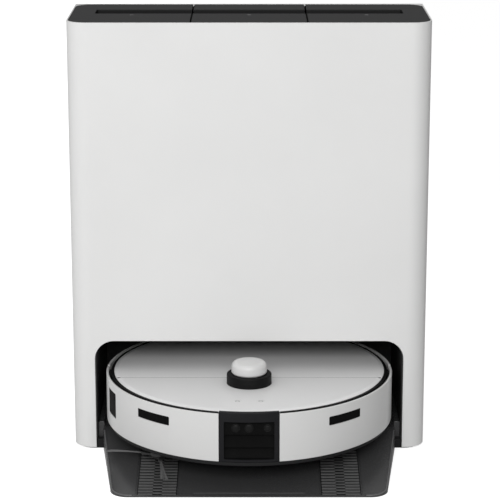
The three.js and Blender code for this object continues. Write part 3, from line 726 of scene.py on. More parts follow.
def lid_blank(sizes, node):
    """One top lid with its stretch of the finger channel and the grip undercut."""
    _, y, _ = inner_plan(sizes, FIT)
    x, corner = lid_seat(sizes, FIT)
    lid_x = span(node)[0]
    plan = softened(
        [(x[0], y[0], corner), (x[1], y[0], corner), (x[1], LID_REAR, 8), (x[0], LID_REAR, 8)], 10
    )
    slice_x = {
        "clean_tank_lid": (x[0], lid_x[1] + LID_SHIFT),
        "dust_lid": grown(lid_x, -LID_SHIFT - LID_GROOVE),
        "dirty_tank_lid": (lid_x[0] - LID_SHIFT, x[1]),
    }[node]
    lid = shared(prism(plan, "Z", LID_Z), slab(slice_x, (FRONT, REAR), grown(LID_Z, 1)))
    near, far = FRONT + sizes.channel_front, FRONT + sizes.channel_back
    reach = (max(lid_x[0] - 9, -sizes.channel_half), min(lid_x[1] + 9, sizes.channel_half))
    floor = LID_Z[1] - sizes.channel_depth
    channel = beam("Z", (floor, LID_Z[1] + 1), reach, (near, far), 3)
    grip = slab(reach, (near - sizes.grip, near + 1), (floor + 0.01, floor + sizes.grip))
    return carved(lid, channel, grip)


def build_lids(sizes):
    """Three graphite lids, and the small generic marks printed on them."""
    bodies = {
        "clean_tank_lid": "clean_tank", "dust_lid": "dust_lid", "dirty_tank_lid": "dirty_tank"
    }
    for node, body in bodies.items():
        blank = lid_blank(sizes, node)
        piece(f"{node}_cover", blank, "lid", [node], 0.9, 3, body=body)
        at = (middle(span(node)[0]), FRONT + 71)
        mark = annulus((1.4, 2.2), (LID_Z[1], LID_Z[1] + 0.06), at, 24)
        piece(f"{node}_mark", mark, "mark", body=body)
    lamp = beam("Z", (LID_Z[1] - 12, LID_Z[1] - 11), (183, 189), (FRONT + 97, FRONT + 99), 0.9)
    piece("status_lamp", lamp, "mark", bevel=0.2, body="dirty_tank")


def build_rear_panel():
    """The service panel behind: louvres, inlet and screws."""
    x, y, z = span("rear_panel")
    plate = beam("Y", y, x, z, 7.7)
    slots = [beam("Y", grown(y, 1), (-75, 75), (z, z + 3.5), 1.7) for z in LOUVRES]
    inlet_x, inlet_y, inlet_z = span("power_inlet")
    hole = slab(grown(inlet_x, FIT), grown(y, 1), grown(inlet_z, FIT))
    panel = carved(plate, *slots, hole)
    piece("service_panel", panel, "graphite", ["rear_panel"], 0.35)
    vanes = [louvre(z, y) for z in LOUVRES]
    piece("louvre_vanes", gathered(*vanes), "black", bevel=0.2)
    body = beam("Y", inlet_y, inlet_x, inlet_z, 2)
    socket_x, socket_z = grown(inlet_x, -4), (middle(inlet_z) - 5, middle(inlet_z) + 5)
    socket = beam("Y", (REAR - 12, REAR + 1), socket_x, socket_z, 4.9, 8)
    piece("mains_inlet", carved(body, socket), "black", ["power_inlet"], 0.3)
    for side in (-1, 1):
        pin = turned([(0, 0), (1.2, 0), (1.2, 8), (0.7, 9), (0, 9)], steps=20)
        swung(pin, -math.pi / 2, "X")
        place = (middle(inlet_x) + 4.5 * side, REAR - 12.5, middle(inlet_z))
        piece(f"inlet_pin_{'left' if side < 0 else 'right'}", moved(pin, place), "steel")
    places = [(sx, y[1] - 0.5, sz) for sz in grown(z, -10) for sx in grown(x, -10)]
    for i, place in enumerate(places):
        piece(f"panel_screw_{i + 1}", screw_head(place), "steel")


def louvre(z, y):
    """A slanted vane behind one slot."""
    section = [
        (y[0] - 4, z + 3.0), (y[0] - 4, z + 4.2), (y[0] - 0.2, z + 0.8), (y[0] - 0.2, z - 0.4)
    ]
    return prism(section, "X", (-78, 78))


def screw_head(place, facing=-math.pi / 2):
    """A domed head with a cross recess."""
    head = turned([(0, 0), (2.9, 0), (2.9, 0.5), (2.2, 1.2), (0, 1.5)], steps=28)
    arms = [slab((-1.7, 1.7), (-0.35, 0.35), (0.7, 3)), slab((-0.35, 0.35), (-1.7, 1.7), (0.7, 3))]
    cross = carved(head, *arms)
    swung(cross, facing, "X")
    return moved(cross, place)


# ---- Station: bay and base ---------------------------------------------------------------


def build_liner(sizes):
    """The dark lining of the bay, with holes for its port and contacts, and wall ribs."""
    half, top = sizes.bay_half - 1.5, sizes.bay_top - 1
    outer = arch(half + 3, LINER_Z[0], top + 3, sizes.bay_corner)
    inner = arch(half, LINER_Z[0] - 1, top, sizes.bay_corner - 2)
    back = LINER_Y[1] - 3
    lining = prism(outer, "Y", LINER_Y)
    port_x, _, port_z = span("dust_port_seal")
    holes = [slab(grown(port_x, -6), (back - 1, back + 5), grown(port_z, -6))]
    for side in ("left", "right"):
        x, _, z = span(f"charge_contact_{side}")
        bore = rod(4.8, (-6, 6), steps=24)
        swung(bore, math.pi / 2, "X")
        holes.append(moved(bore, (middle(x), back, middle(z))))
    lining = carved(lining, prism(inner, "Y", (LINER_Y[0] - 1, back)), *holes)
    piece("bay_lining", lining, "graphite", ["bay_liner"], 0.5, slot="black_plastic")
    ribs = [
        beam("Y", (back - 1.2, back + 0.2), (x - 1, x + 1), (100, 128), 0.9)
        for x in range(-150, 151, 20)
    ]
    piece("bay_back_ribs", gathered(*ribs), "graphite", bevel=0.3, slot="black_plastic")
    seal_y = span("dust_port_seal")[1]
    ring = beam("Y", seal_y, port_x, port_z, 6, 8)
    throat = beam("Y", grown(seal_y, 1), grown(port_x, -6), grown(port_z, -6), 2.5)
    piece("port_gasket", carved(ring, throat), "rubber", ["dust_port_seal"], 0.6, 3)


def ramp_height(y):
    """Height of the ramp's upper surface, which climbs evenly to the platform."""
    climb = (y - RAMP_FRONT) / (CREST - RAMP_FRONT)
    return LIP + (PLATFORM - LIP) * min(1.0, climb)


def ramp_plan(inset=0.0):
    """Outline (x, y) of the ramp and platform."""
    half, tip, back = 185 - inset, 167 - inset, LINER_Y[1] - 4
    corner = 22 - inset
    corners = [
        (-half, back),
        (-half, FRONT),
        (-tip, RAMP_FRONT + 22),
        (-tip, RAMP_FRONT + inset, corner),
        (tip, RAMP_FRONT + inset, corner),
        (tip, RAMP_FRONT + 22),
        (half, FRONT),
        (half, back),
    ]
    return softened(corners, 12)


def ramp_side(raise_by=0.0, low=0.0):
    """Side outline (y, z) of the ramp and platform, eased at the crest."""
    back, nose = LINER_Y[1] - 4, RAMP_FRONT - 1
    corners = [
        (nose, low),
        (nose, ramp_height(nose) + raise_by),
        (CREST, PLATFORM + raise_by, 60),
        (back, PLATFORM + raise_by),
        (back, low),
    ]
    return softened(corners, 6)


def ramp_strip(x, y, drop):
    """The space over a sunk strip of the ramp, as a cutter."""
    section = [
        (y[0], ramp_height(y[0]) - drop), (y[1], ramp_height(y[1]) - drop), (y[1], OVER),
        (y[0], OVER),
    ]
    return prism(section, "X", x)


def build_base(sizes):
    """Floor plate, ramp with its raised border, and side rails."""
    x, y, corner = inner_plan(sizes, FIT)
    plate = beam("Z", (0, 12), x, y, corner, 10)
    strip_x, strip_y, strip_z = span("anti_slip_strip")
    plate = carved(plate, slab(grown(strip_x, FIT), grown(strip_y, FIT), (-1, strip_z[1] + 0.3)))
    piece("base_plate", plate, "black", bevel=0.5)
    tray_x, tray_y, tray_z = span("wash_tray")
    tools = [slab(grown(tray_x, FIT), grown(tray_y, FIT), (tray_z[0] - FIT, OVER))]
    for side in (-1, 1):
        tools.append(ramp_strip(mirrored(grown(PAD_X, 2.2), side), grown(PAD_Y, FIT), 0.9))
        tools.append(ramp_strip(mirrored(grown(PAD_X, FIT), side), grown(PAD_Y, FIT), 1.5))
    tools.append(ramp_strip((-67, 67), (RAMP_FRONT - 2, RAMP_FRONT + 8), 0.7))
    deck = shared(prism(ramp_plan(), "Z", (0, 60)), prism(ramp_side(), "X", (-190, 190)))
    deck = carved(deck, *tools)
    piece("ramp_deck", deck, "ramp", ["base_tray"], 0.35, 2)
    border = carved(prism(ramp_plan(0.5), "Z", (0.5, 60)), prism(ramp_plan(2.2), "Z", (0, 61)))
    border = shared(border, prism(ramp_side(0.9, 0.6), "X", (-190, 190)))
    outside = slab((-WIDE, WIDE), (FRONT - 4, 300), (-1, 70))
    notch = slab((-140, 140), (RAMP_FRONT - 5, RAMP_FRONT + 30), (-1, 30))
    border = carved(border, outside, notch)
    # the border's lighter finish is a painted highlight on the ramp's edge
    piece("ramp_border", border, "edge", bevel=0.4, segments=3)
    rail = (184, sizes.bay_half - 1.8)
    for side, word in SIDES:
        bar = beam("Y", (FRONT + 12.6, LINER_Y[1] - 4), mirrored(rail, side), (2, 32), 2)
        piece(f"side_rail_{word}", bar, "ramp", bevel=0.8, segments=3)


def rib(x, y, tall):
    """One rounded rib across a traction pad."""
    base = ramp_height(y) - 1.2
    lean = (ramp_height(y + 1) - ramp_height(y - 1)) / 2
    section = [(-2.0, -0.1), (-1.2, tall), (1.2, tall), (2.0, -0.1)]
    return prism([(y + u, base + v + lean * u) for u, v in section], "X", x)


def build_pads(sizes):
    """Two rubber pads: two columns of ribs, and low ribs set between them, on a bed in the darkest
    black that paints the shade between the ribs.
    """
    near, far = PAD_Y
    low, high = PAD_X
    columns = ((low + 0.8, low + 18), (low + 29, high - 0.8))
    between = (low + 18, low + 29)
    count = int((far - near - 2) / sizes.rib_pitch)
    for side, word in SIDES:
        bed = [(near, ramp_height(near) - 1.4), (near, ramp_height(near) - 1.2)]
        bed += [(far, ramp_height(far) - 1.2), (far, ramp_height(far) - 1.4)]
        places = [near + 2.6 + i * sizes.rib_pitch for i in range(count)]
        ribs = [rib(mirrored(column, side), y, 1.3) for column in columns for y in places]
        ribs += [rib(mirrored(between, side), y + sizes.rib_pitch / 2, 0.7) for y in places[:-1]]
        pad = prism(bed, "X", mirrored(PAD_X, side))
        # painted shade: the bed between the ribs gets the darkest black, standing in for shade in
        # the gaps, though it is the pads' own rubber
        piece(f"pad_bed_painted_shade_{word}", pad, "collar", slot="rubber")
        node = f"traction_pad_{word}"
        piece(f"ribbed_pad_{word}", gathered(*ribs), "rubber", [node], 0.25)


def build_wash_tray():
    """The lift-out tray under the mops: a tub with scrubbing ribs."""
    x, y, z = span("wash_tray")
    tub = beam("Z", z, x, y, 4)
    tub = carved(tub, beam("Z", (z[0] + 3.3, z[1] + 5), grown(x, -3), grown(y, -3), 3))
    piece("tray_tub", tub, "graphite", ["wash_tray"], 0.6)
    ribs = []
    for i in range(8):
        at = y[0] + 15.5 + i * 15
        section = softened(
            [
                (at - 2, z[0] + 2), (at + 2, z[0] + 2), (at + 1.2, z[1] - 1.2, 0.9),
                (at - 1.2, z[1] - 1.2, 0.9),
            ],
            3,
        )
        ribs.append(prism(section, "X", grown(x, -8)))
    piece("tray_ribs", gathered(*ribs), "rubber", bevel=0.2)


# ---- Station: what the compartments hold -------------------------------------------------


def build_tanks():
    """Two smoked clear tanks with a rubber gasket under each lid."""
    for side, node in ((-1, "clean_tank"), (1, "dirty_tank")):
        x, y, z = span(node)
        tank = beam("Z", z, x, y, 17, 8)
        inside = beam("Z", (z[0] + 2.5, z[1] + 1), grown(x, -2.5), grown(y, -2.5), 14.5, 8)
        piece(f"{node}_tub", carved(tank, inside), "clear", [node], 0.6, 3, body=node)
        ring = beam("Z", (z[1] - 6, z[1] - 0.6), grown(x, -3), grown(y, -3), 14, 8)
        gap = beam("Z", (z[1] - 7, z[1]), grown(x, -6), grown(y, -6), 11, 8)
        piece(f"{node}_gasket", carved(ring, gap), "rubber", bevel=0.5, body=node)
        float_at = (middle(x) + 30 * side, 110)
        tube = annulus((5, 6.5), (z[0] + 3, z[1] - 7), float_at, 28)
        piece(f"{node}_dip_tube", tube, "graphite", body=node)


def build_dust_bag():
    """A soft bag, bulged between its seams, hung on a stiff collar."""
    x, y, z = span("dust_bag")
    bm = bmesh.new()
    bmesh.ops.create_cube(bm, size=1)
    bmesh.ops.subdivide_edges(bm, edges=bm.edges, cuts=18, use_grid_fill=True)
    centre = Vector((middle(x), middle(y), middle(z)))
    size = Vector((x[1] - x[0], y[1] - y[0], z[1] - z[0]))
    for vert in bm.verts:
        u, v, w = (2 * c for c in vert.co)
        bulge = 0.80 + 0.20 * math.sqrt(max(0.0, (1 - v * v * 0.8) * (1 - w * w * 0.75)))
        sag = 1 + 0.05 * math.sin(3.1 * w) - 0.06 * max(0.0, w) ** 2
        crumple = 0.012 * math.sin(9 * w + 5 * u) * math.cos(7 * v)
        vert.co = Vector(
            (vert.co.x * (bulge * sag + crumple) * 0.96, vert.co.y * (0.9 + 0.08 * sag), vert.co.z)
        )
    for _ in range(3):
        bmesh.ops.smooth_vert(
            bm, verts=bm.verts, factor=0.5, use_axis_x=True, use_axis_y=True, use_axis_z=True
        )
    bmesh.ops.scale(bm, verts=bm.verts, vec=size)
    moved(bm, centre)
    bag = piece("dust_bag_body", bm, "paper", ["dust_bag"], crease=60)
    bag.modifiers.new("soften", "SUBSURF").levels = 1
    bag.modifiers["soften"].render_levels = 1
    collar = beam(
        "Z", (DUCT_MOUTH[0] - 15, DUCT_MOUTH[1] + 15), grown(x, -4), (y[1] - 6, y[1] + 2), 1
    )
    piece("dust_bag_collar", collar, "paper", bevel=0.5)


def dress_inner_parts():
    """Finishes for the CAD nodes that stay, inside the station and the robot."""
    plain = {
        "inner_frame": "graphite",
        "dust_duct": "graphite",
        "station_fan_housing": "black",
        "station_impeller": "black",
        "control_board": "board",
        "water_pump": "black",
        "anti_slip_strip": "rubber",
        "fan_housing": "black",
        "fan_impeller": "graphite",
        "battery_pack": "graphite",
        "main_board": "board",
        "bumper_carrier": "black",
        "wheel_arm_left": "graphite",
        "wheel_arm_right": "graphite",
        "lidar_rotor": "graphite",
        "dust_bin": "clear",
        "robot_contact_left": "metal",
        "robot_contact_right": "metal",
    }
    for node, finish in plain.items():
        dress(node, finish)


# ---- Robot: body -------------------------------------------------------------------------


def skin_section(sizes, low, high):
    """Section (radius, z) of a side skin, with a soft rim."""
    soft = sizes.rim_softness
    inner = ROBOT_R - sizes.skin
    corners = [
        (inner, low, 0.3), (ROBOT_R, low, 0.8), (ROBOT_R, high, soft), (inner, high, soft * 0.7)
    ]
    return softened(corners, 4)


def eye_cutter(bearing, x_half, z, radius=1.5):
    """A rounded cutter that pierces the skin at a bearing."""
    tool = beam("Y", (-ROBOT_R - 5, -ROBOT_R + 12), (-x_half, x_half), z, radius, 4)
    return at_bearing(tool, bearing)


def chord(bearings, radius):
    """Half the width of an opening between two bearings."""
    return radius * math.sin(math.radians(bearings[1] - bearings[0]) / 2)


EYES = (32.2, 48.4)
WALL_EYE = (66.0, 76.0)
EYE_Z = (81.5, 92.3)
WALL_EYE_Z = (62.0, 94.0)
BEZEL_EDGE = 11.5
BUMPER_END = 93.0
REAR_START = 94.3


def window_pane(bearings, z, depth=0.6):
    """A curved pane set into the skin, a little below its surface."""
    outer = ROBOT_R - depth
    section = softened(
        [(outer - 1.9, z[0]), (outer, z[0], 0.4), (outer, z[1], 0.4), (outer - 1.9, z[1])], 3
    )
    return sector(section, bearings, 1.2)


def build_skins(sizes):
    """Front skins, rear skin and their side windows."""
    for side, word in ((1, "left"), (-1, "right")):
        ends = (BEZEL_EDGE + 0.12, BUMPER_END)
        blank = sector(
            skin_section(sizes, BAND_BOTTOM, RIM_TOP - sizes.rim_drop),
            ends if side > 0 else (-ends[1], -ends[0]),
            1.5,
        )
        tools = [eye_cutter(side * middle(EYES), chord(EYES, ROBOT_R) + 0.1, grown(EYE_Z, 0.2))]
        if side > 0:
            half = chord(WALL_EYE, ROBOT_R) + 0.1
            tools.append(eye_cutter(middle(WALL_EYE), half, grown(WALL_EYE_Z, 0.2)))
        skin = carved(blank, *tools)
        robot_piece(
            f"front_skin_{word}",
            skin,
            "skin",
            [f"bumper_skin_{word}"],
            0.22,
            crease=40,
            body="bumper",
        )
        pane = window_pane(EYES if side > 0 else (-EYES[1], -EYES[0]), EYE_Z)
        robot_piece(f"eye_pane_{word}", pane, "window", [f"side_window_{word}"], body="bumper")
    pane = window_pane(WALL_EYE, WALL_EYE_Z)
    robot_piece("wall_eye_pane", pane, "window", ["wall_sensor_window"], body="bumper")
    rear = sector(
        skin_section(sizes, BAND_BOTTOM - 0.4, RIM_TOP - sizes.rim_drop),
        (REAR_START, 360 - REAR_START),
        1.5,
    )
    port = beam("Y", (160, 190), (-20, 20), (62, 88), 3)
    pockets = []
    for node_side in ("left", "right"):
        x, _, z = span(f"robot_contact_{node_side}")
        bearing = 180 + math.degrees(math.asin(middle(x) / ROBOT_R))
        pockets.append(eye_cutter(bearing, (x[1] - x[0]) / 2 + 0.6, grown(z, FIT), 0.6))
    robot_piece("rear_skin", carved(rear, port, *pockets), "skin", ["rear_shell"], 0.22, crease=40)


def build_bezel(sizes):
    """The black sensor bezel, its stepped recess and the lenses."""
    inner = ROBOT_R - sizes.skin
    top = span("sensor_bezel")[2][1]
    face = softened(
        [
            (inner, BAND_BOTTOM), (ROBOT_R - 0.05, BAND_BOTTOM, 1), (ROBOT_R - 0.05, top, 1.4),
            (175.1, top, 0.8), (175.1, 101.7), (inner, 101.7),
        ],
        4,
    )
    blank = sector(face, (-BEZEL_EDGE, BEZEL_EDGE), 1.0)
    hole = beam("Y", (-ROBOT_R - 5, -150), (-sizes.window_half, sizes.window_half), (48, 95), 1.6)
    ears = [
        beam("Y", (-ROBOT_R - 5, -177.6), mirrored((29, 31.6), side), (88, 95), 0.8)
        for side in (-1, 1)
    ]
    robot_piece(
        "bezel_frame",
        carved(blank, hole, *ears),
        "bezel",
        ["sensor_bezel"],
        0.3,
        crease=40,
        body="bumper",
    )
    section = softened(
        [
            (-163, 47.6), (-174.5, 47.6, 0.5), (-174.5, 49, 0.4), (-170.5, 60.6, 0.6),
            (-174.2, 61.6, 0.5), (-174.2, 62.6, 0.4), (-170.8, 77.2, 0.6), (-175.2, 78, 0.5),
            (-172.6, 96.1, 0.4), (-163, 96.1),
        ],
        3,
    )
    panel = prism(section, "X", (-30.3, 30.3))
    robot_piece("sensor_shelf", panel, "window", ["lens_panel"], crease=25, body="bumper")
    for i, (x, radius) in enumerate(((-16, 5.2), (0, 5.4), (22, 4.6))):
        robot_piece(f"lens_ring_{i + 1}", lens(x, radius), "lens", body="bumper")


def lens(x, radius):
    """A domed lens in a raised ring, on the sloping upper panel."""
    profile = softened(
        [(0, -1), (radius, -1), (radius, 0.9, 0.2), (radius - 0.8, 0.9, 0.2), (radius - 1.1, 0.3)],
        2,
    )
    dome = [
        ((radius - 1.1) * math.cos(a), 0.3 + 0.9 * math.sin(a))
        for a in (math.radians(18 * i) for i in range(1, 6))
    ]
    body = turned([*profile, *dome[:-1], (0, 1.2)], steps=40)
    swung(body, math.radians(81), "X")
    return moved(body, (x, -173.8, 86.2))


def build_covers(sizes):
    """Front cover and rear lid, parted by a straight seam, with the two keys."""
    low, high = COVER_Z
    edge = COVER_R - 1.6
    rim = softened(
        [
            (0, low),
            (edge, low, 0.2),
            (edge, high - 1.2, sizes.cover_softness * 0.5),
            (edge - 5, high, 3),
            (0, high),
        ],
        5,
    )
    hole = (0, TURRET_Y)
    for name, keep, node, keyed in (
        ("cover_front", (-WIDE, -sizes.seam - 0.4), "front_cover", True),
        ("cover_rear", (-sizes.seam + 0.4, WIDE), "rear_lid", False),
    ):
        disc = shared(turned(rim, steps=180), slab((-WIDE, WIDE), keep, (low - 5, high + 5)))
        tools = [rod(TURRET_HOLE, (low - 5, high + 5), hole, 64)]
        if keyed:
            tools += [rod(4.7, (low - 5, high + 5), (x, KEY_Y), 32) for x in (-KEY_X, KEY_X)]
        robot_piece(name, carved(disc, *tools), "cover", [node], 0.18, crease=40)
    ring = [(edge + 0.3, low), (173.8, low), (173.8, high - 1.7, 0.4), (edge + 0.3, high - 1.7)]
    seal = sector(softened(ring, 3), (BEZEL_EDGE + 1, 360 - BEZEL_EDGE - 1), 2)
    robot_piece("rim_gasket", seal, "collar")
    reach = (
        math.sqrt(TURRET_HOLE**2 - (TURRET_Y + sizes.seam) ** 2) + 0.6,
        math.sqrt(edge**2 - sizes.seam**2) - 0.8,
    )
    # painted shade: black strips fill the gap between the covers to just under their top, standing
    # in for the shade in the seam
    strips = [
        slab(mirrored(reach, side), (-sizes.seam - 0.3, -sizes.seam + 0.3), (low + 1, high - 0.05))
        for side in (-1, 1)
    ]
    robot_piece("seam_painted_shade", gathered(*strips), "black")
    for x, body in ((-KEY_X, "power_button"), (KEY_X, "home_button")):
        z = span(body)[2]
        key = turned(
            softened([(0, z[0]), (4.55, z[0]), (4.55, z[1], 0.25), (0, z[1])], 3), (x, KEY_Y), 40
        )
        robot_piece(f"{body}_key", key, "cover", [body], body=body)
        ring = annulus((1.9, 2.9), (z[1], z[1] + 0.04), (x, KEY_Y), 32)
        robot_piece(f"{body}_mark", ring, "key_mark", body=body)


def build_turret(sizes):
    """Black collar and white cap of the turret."""
    low, top = span("lidar_collar")[2]
    wall = sizes.collar
    profile = softened(
        [
            (4, low), (wall, low, 0.5), (wall, top, 1.3), (20, top, 0.4), (20, top - 2.5),
            (wall - 2.4, top - 2.5), (wall - 2.4, low + 2.5), (4, low + 2.5),
        ],
        5,
    )
    robot_piece(
        "turret_collar", turned(profile, (0, TURRET_Y), 96, True), "collar", ["lidar_collar"]
    )
    base, crown = span("lidar_cap")[2]
    cap = softened(
        [
            (0, base), (sizes.cap - 1.4, base, 0.4), (sizes.cap, base + 1.8, 1.2),
            (sizes.cap, crown, 6.0), (0, crown),
        ],
        8,
    )
    robot_piece("turret_cap", turned(cap, (0, TURRET_Y), 96), "skin", ["lidar_cap"], crease=60)


def build_tub():
    """The robot's chassis: underside, dark lip and inner wall."""
    corners = [
        (0, 38), (174, 38, 2), (177.2, 39.6, 0.8), (177.2, 43.9, 0.6), (170.5, 43.9), (170.5, 100),
        (173.6, 100), (173.6, 101.2, 0.3), (168, 101.2), (168, 42), (0, 42),
    ]
    tub = turned(softened(corners, 4), steps=144)
    floor = (36, 44)
    tools = [
        slab((-79, 79), (-66, -24), floor),
        rod(25, (36, 44), (0, CASTER_Y), 48),
        rod(4.5, (36, 44), SIDE_BRUSH_AT, 24),
        slab((-34, 34), (-171, -155), (45.5, 97.5)),
        slab((-20, 20), (155, 182), (62, 88)),
    ]
    for side in (-1, 1):
        tools.append(beam("Z", floor, mirrored((110.5, 138), side), (-39, 39), 4))
        tools.append(rod(4.8, (36, 44), (MOP_X * side, MOP_Y), 24))
    robot_piece("robot_tub", carved(tub, *tools), "black", ["robot_chassis"], 0.4, crease=40)
    cup = turned(
        softened([(25, 41), (27.5, 41), (27.5, 63, 1), (4.2, 63), (4.2, 60), (25, 60, 1)], 3),
        (0, CASTER_Y),
        48,
        True,
    )
    robot_piece("caster_cup", cup, "black")
    for side, word in SIDES:
        lug = prism(
            softened([(-37, 41), (-23, 41), (-23, 71, 4), (-37, 71, 4)], 4),
            "X",
            mirrored((87, 91), side),
        )
        pin = laid_over(
            turned([(0, 90), (3, 90), (3, 107), (2.4, 108), (0, 108)], steps=24), (-30, 63)
        )
        if side < 0:
            bmesh.ops.scale(pin, verts=pin.verts, vec=(-1, 1, 1))
            bmesh.ops.reverse_faces(pin, faces=pin.faces)
        robot_piece(f"arm_pivot_{word}", gathered(lug, pin), "graphite", bevel=0.3)
    for i, bearing in enumerate((-62, -22, 22, 62, 150, 210)):
        pane = beam("Z", (37.6, 39), (-9, 9), (-166, -160), 2.5)
        robot_piece(f"cliff_window_{i + 1}", at_bearing(pane, bearing), "window", bevel=0.2)
    for i, (x, y) in enumerate(
        ((-95, -60), (95, -60), (-92, 60), (92, 60), (0, 140), (-45, -150), (45, -150))
    ):
        head = screw_head((x, y, 38.2), math.pi)
        robot_piece(f"chassis_screw_{i + 1}", head, "steel")


# ---- Robot: running gear -----------------------------------------------------------------

BRUSH = {"y": -45, "z": 46, "r": 18, "half": 78}


def build_wheels():
    """Drive wheels: a hub with spokes and a tyre with lugs across it."""
    for side, word in SIDES:
        axle_z = middle(span(f"drive_wheel_{word}")[2])
        tyre = turned(
            softened(
                [(21.5, 113.2, 0.5), (32.4, 113.2, 1.5), (32.4, 134.8, 1.5), (21.5, 134.8, 0.5)], 4
            ),
            steps=72,
            closed=True,
        )
        lugs = []
        for i in range(24):
            lug = beam("Z", (114.5, 133.5), (31.5, 33.9), (-1.9, 1.9), 0.6)
            swung(lug, math.tau * i / 24)
            lugs.append(lug)
        tyre = side_placed(laid_over(gathered(tyre, *lugs), (0, axle_z)), side)
        robot_piece(
            f"tyre_{word}", tyre, "tread", [f"drive_wheel_{word}"], 0.3, body=f"drive_wheel_{word}"
        )
        rim = turned(
            softened([(19, 115, 0.5), (21.8, 115, 0.5), (21.8, 133, 0.5), (19, 133, 0.5)], 3),
            steps=56,
            closed=True,
        )
        hub = turned(softened([(0, 113.5), (7, 113.5, 0.5), (7, 131, 1.5), (0, 131)], 4), steps=40)
        axle = rod(4, (98, 114), steps=28)
        spokes = []
        for i in range(5):
            spoke = beam("Z", (118, 128), (5, 20), (-2.2, 2.2), 0.5)
            swung(spoke, math.tau * i / 5)
            spokes.append(spoke)
        wheel = side_placed(laid_over(gathered(rim, hub, axle, *spokes), (0, axle_z)), side)
        robot_piece(f"wheel_hub_{word}", wheel, "graphite", bevel=0.3, body=f"drive_wheel_{word}")


def side_placed(bm, side):
    """Reflects a piece made on the right to the left, faces kept outwards."""
    if side < 0:
        bmesh.ops.scale(bm, verts=bm.verts, vec=(-1, 1, 1))
        bmesh.ops.reverse_faces(bm, faces=bm.faces)
    return bm


def build_caster():
    """Front caster: swivelling fork and small wheel."""
    y = CASTER_Y
    plate = turned(
        softened([(0, 56), (22, 56, 0.6), (22, 59, 0.8), (3.6, 59), (3.6, 68, 0.8), (0, 68)], 3),
        (0, y),
        48,
    )
    cheeks = [
        prism(
            softened([(y - 2, 37, 4), (y + 12, 37, 4), (y + 12, 57), (y - 2, 57)], 5),
            "X",
            mirrored((7.2, 10.2), side),
        )
        for side in (-1, 1)
    ]
    robot_piece(
        "caster_yoke", gathered(plate, *cheeks), "black", ["caster_fork"], 0.3, body="caster_fork"
    )
    _, wheel_y, wheel_z = span("caster_wheel")
    at = (middle(wheel_y) - ROBOT_Y, middle(wheel_z))
    roller = turned(softened([(0, -6.5), (13, -6.5, 2.2), (13, 6.5, 2.2), (0, 6.5)], 5), steps=48)
    axle = rod(2, (-10, 10), steps=20)
    robot_piece(
        "caster_roller",
        laid_over(gathered(roller, axle), at),
        "tread",
        ["caster_wheel"],
        crease=40,
        body="caster_wheel",
    )


def helical_fin(angle, twist):
    """A rubber fin that winds along the brush, from its root to a thin tip."""
    steps = 48
    half = BRUSH["half"]
    bm = bmesh.new()
    section = [(-1.2, 10.5), (-0.5, BRUSH["r"] - 0.2), (0.5, BRUSH["r"] - 0.2), (1.2, 10.5)]
    verts = [bm.verts.new((-half, u, v)) for u, v in section]
    edges = [bm.edges.new(pair) for pair in zip(verts, verts[1:] + verts[:1])]
    bmesh.ops.rotate(bm, verts=verts, matrix=Matrix.Rotation(angle, 3, "X"))
    bmesh.ops.spin(
        bm,
        geom=verts + edges,
        cent=(0, 0, 0),
        axis=(1, 0, 0),
        dvec=(2 * half / steps, 0, 0),
        angle=twist,
        steps=steps,
    )
    bmesh.ops.holes_fill(bm, edges=[e for e in bm.edges if e.is_boundary], sides=0)
    return tidied(bm)


def build_brushes(sizes):
    """Main brush with winding fins, and the three-armed side brush."""
    half = BRUSH["half"]
    fins = [helical_fin(math.tau * i / 6, math.radians(150)) for i in range(6)]
    core = laid_over(
        turned(
            softened(
                [
                    (0, -half - 3), (3, -half - 3, 0.5), (3, -half), (11, -half, 1), (11, half, 1),
                    (3, half), (3, half + 3, 0.5), (0, half + 3),
                ],
                3,
            ),
            steps=48,
        ),
        (0, 0),
    )
    brush = moved(gathered(core, *fins), (0, BRUSH["y"], BRUSH["z"]))
    robot_piece("roller_brush", brush, "rubber", ["main_brush"], crease=40, body="main_brush")
    hub_at = SIDE_BRUSH_AT
    hub = turned(
        softened(
            [
                (0, 25.4), (9, 25.4, 1.2), (11, 29, 0.8), (8, 36.6, 0.8), (3.2, 36.6),
                (3.2, 56, 0.5), (0, 56),
            ],
            3,
        ),
        hub_at,
        40,
    )
    roots, strands = [], []
    rng = random.Random(7)
    for degrees in (37, 157, 277):
        root = prism(
            softened([(5, -2.6), (24, -2.2, 1.5), (24, 2.2, 1.5), (5, 2.6)], 4), "Z", (26.2, 28.8)
        )
        roots.append(turned_about(root, degrees, hub_at))
        for _ in range(sizes.bristles):
            strands.append(turned_about(strand(rng), degrees, hub_at))
    robot_piece(
        "side_brush_hub", gathered(hub, *roots), "graphite", ["side_brush"], 0.3, body="side_brush"
    )
    robot_piece("side_brush_bristles", gathered(*strands), "bristle", body="side_brush")


def turned_about(bm, degrees, centre):
    turn = Matrix.Rotation(math.radians(degrees), 3, "Z")
    bmesh.ops.rotate(bm, verts=bm.verts, matrix=turn)
    return moved(bm, (*centre, 0))


def strand(rng):
    """One bristle, fanning out from the arm's root and drooping towards its tip."""
    fan = rng.uniform(-1, 1)
    start, reach = 18.0, rng.uniform(68, 72)
    rise = rng.uniform(-0.5, 0.5)
    steps = 6
    bm = bmesh.new()
    rings = []
    for i in range(steps + 1):
        t = i / steps
        radius = 0.42 - 0.2 * t
        along = start + (reach - start) * t
        across = fan * (1.2 + 3.4 * t * t)
        z = 27.6 + rise - 5.0 * ((along - 6) / 66) ** 2
        turn = [math.tau * k / 3 for k in range(3)]
        ring = [(along, across + radius * math.cos(a), z + radius * math.sin(a)) for a in turn]
        rings.append([bm.verts.new(point) for point in ring])
    for first, second in zip(rings, rings[1:]):
        bmesh.ops.bridge_loops(bm, edges=ring_edges(bm, first) + ring_edges(bm, second))
    for end in (rings[0], rings[-1]):
        bm.faces.new(end)
    return tidied(bm)


def ring_edges(bm, ring):
    """The edges of a ring of vertices, made if they are missing."""
    pairs = zip(ring, ring[1:] + ring[:1])
    return [bm.edges.get(pair) or bm.edges.new(pair) for pair in pairs]


